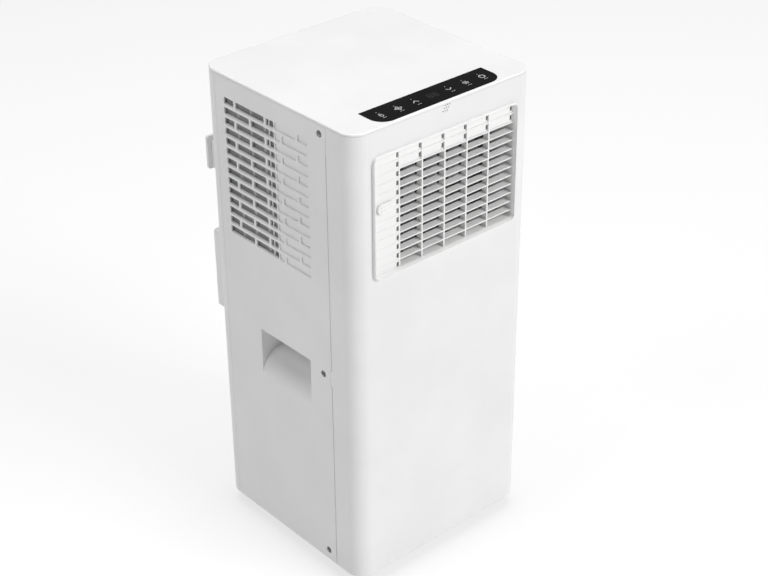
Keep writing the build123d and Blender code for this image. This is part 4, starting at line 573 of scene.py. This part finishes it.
# Painted shade: a near-black pad that keeps the sound holes dark.
felt = Finish("black_shade_felt", Roughness=0.95, Specular_IOR_Level=0.1)
felt.set(Base_Color=felt.blend(felt.noise(2400.0), (0.006, 0.006, 0.006), (0.02, 0.02, 0.02)))
felt.bump(felt.noise(1900.0), 0.5, 0.0003)
felt_front = shell_low[1] + shell_wall + glue
pad = bars((-felt_half[0], felt_front, holes_level - felt_half[1]),
           (felt_half[0], felt_front + felt_thick, holes_level + felt_half[1]))
shown("sound_hole_shade_felt", [pad], felt)

# ---- Drain plugs, float, cord bush
# Grey rubber caps on the drain spouts, a foam float in the pan and a black nylon bush.

grey_rubber = moulded("grey_rubber", (0.16, 0.16, 0.165), grain=350, roughness=0.7, cloud=0.05,
                      edges=0.0003)
wear("drain_plugs", grey_rubber)
foam = moulded("float_white", (0.70, 0.70, 0.67), grain=240, roughness=0.8, cloud=0.03, edges=0.0)
wear("float_ball", foam)
black = moulded("black_nylon", (0.022, 0.022, 0.024), grain=600, roughness=0.45, cloud=0.05, edges=0.0003)
for node in ("base_pan", "cord_gland"):
    wear(node, black)

# ---- Electrics
# Flame-retardant box with a glass-epoxy board, its relays, choke and supply block, and an
# aluminium run capacitor; the touch board hangs under the lid.

box_plastic = moulded("box_plastic", (0.62, 0.61, 0.56), grain=500, roughness=0.55, cloud=0.03, edges=0.0)
for node in ("electrical_box", "electrical_lid"):
    wear(node, box_plastic)
can = Finish("can_aluminium", Metallic=1.0)
can.set(Base_Color=can.blend(can.noise(70.0, 2.0, (1, 0.1, 1)), (0.58, 0.59, 0.60), (0.76, 0.77, 0.78)),
        Roughness=0.25 + can.noise(120.0) * 0.15)
can.bump(can.noise(400.0, 1.0, (1, 0.05, 1)), 0.1, 0.0002)
wear("run_capacitor", can)
for node, upright, face in (("main_board", 0, 0.0957), ("control_board", 2, 0.6707)):
    board = Finish(node + "_epoxy", Specular_IOR_Level=0.5)
    cells = board.add("ShaderNodeTexVoronoi", {"feature": "F1", "distance": "MANHATTAN"},
                      {"Vector": board.place(), "Scale": 260.0})
    tracks = cells.between(0.30, 0.34)
    mask = board.blend(tracks, (0.01, 0.085, 0.03), (0.015, 0.14, 0.05))
    parts = board.blend(board.noise(36.0, 0.0).between(0.48, 0.52), (0.02, 0.02, 0.022), (0.02, 0.09, 0.28))
    board.set(Base_Color=board.blend(board.axis(upright) > face, mask, parts), Roughness=0.35 + cells * 0.2)
    board.bump(cells, 0.2, 0.0002)
    wear(node, board)

# ---- Casters
# Twin-wheel casters in black nylon with polyurethane rims, pressed in the pan's wells.

tyre = moulded("wheel_black", (0.02, 0.02, 0.021), grain=400, roughness=0.55, cloud=0.05, edges=0.0003)
for corner in ("fl", "fr", "rl", "rr"):
    wear(f"caster_fork_{corner}", black)
    wear(f"caster_wheels_{corner}", tyre)

# ---- Room
# A pale floor, a big soft light over the front right, one overhead, one at the upper left and a
# bright surround.

floor_tone = 0.30
floor_glow = 0.70
key_power = 308
over_power = 92
left_power = 46
surround = 0.03


def soft_light(name, place, aim, size, power):
    """Square area light at a place, turned towards the point it aims at."""
    lamp = bpy.data.lights.new(name, "AREA")
    lamp.size = size
    lamp.energy = power
    holder = bpy.data.objects.new(name, lamp)
    away = np.array(place, float) - np.array(aim, float)
    away /= np.linalg.norm(away)
    tilt = atan2(np.hypot(away[0], away[1]), away[2])
    holder.rotation_euler = (tilt, 0, atan2(away[0], -away[1]))
    holder.location = place
    bpy.context.scene.collection.objects.link(holder)


floor_mesh = bpy.data.meshes.new("floor")
reach = 30.0
sheet = [(-reach, -reach, 0), (reach, -reach, 0), (reach, reach, 0), (-reach, reach, 0)]
floor_mesh.from_pydata(sheet, [], [(0, 1, 2, 3)])
floor = bpy.data.objects.new("floor", floor_mesh)
bpy.context.scene.collection.objects.link(floor)
paper = Finish("floor_paper", Roughness=0.9, Specular_IOR_Level=0.1, Emission_Strength=floor_glow)
paper.shader.inputs["Emission Color"].default_value = (1, 1, 1, 1)
paper.set(Base_Color=paper.blend(paper.noise(3.0), (floor_tone,) * 3, (floor_tone + 0.01,) * 3))
floor_mesh.materials.append(paper.material)

soft_light("front_right", (1.6, -5.4, 4.2), (0, 0, 0.35), 3.4, key_power)
soft_light("overhead", (0.2, 0.3, 4.0), (0, 0, 0.5), 2.6, over_power)
soft_light("upper_left", (-3.2, 0.8, 3.6), (0, 0, 0.5), 2.0, left_power)

world = bpy.data.worlds.new("surround")
world.use_nodes = True
world.node_tree.nodes["Background"].inputs[0].default_value = (1, 1, 1, 1)
world.node_tree.nodes["Background"].inputs[1].default_value = surround
bpy.context.scene.world = world
bpy.context.scene.view_settings.view_transform = "Standard"

# ---- Camera
# At the height of a standing viewer's chest, looking down on the left front corner.

camera_place = (-1.2851, -1.5183, 1.5361)
azimuth = radians(-41.19)
elevation = radians(30.90)
roll = radians(-0.52)
lens = 79.85

across = np.array((cos(azimuth), sin(azimuth), 0.0))
back = np.array((sin(azimuth) * cos(elevation), -cos(azimuth) * cos(elevation), sin(elevation)))
up = np.cross(back, across)
level = across * cos(roll) + up * sin(roll)
upright = up * cos(roll) - across * sin(roll)
lens_data = bpy.data.cameras.new("camera")
lens_data.lens = lens
lens_data.sensor_width = 36
camera = bpy.data.objects.new("camera", lens_data)
turn = Matrix((level, upright, back)).transposed().to_4x4()
turn.translation = camera_place
camera.matrix_world = turn
bpy.context.scene.collection.objects.link(camera)
bpy.context.scene.camera = camera
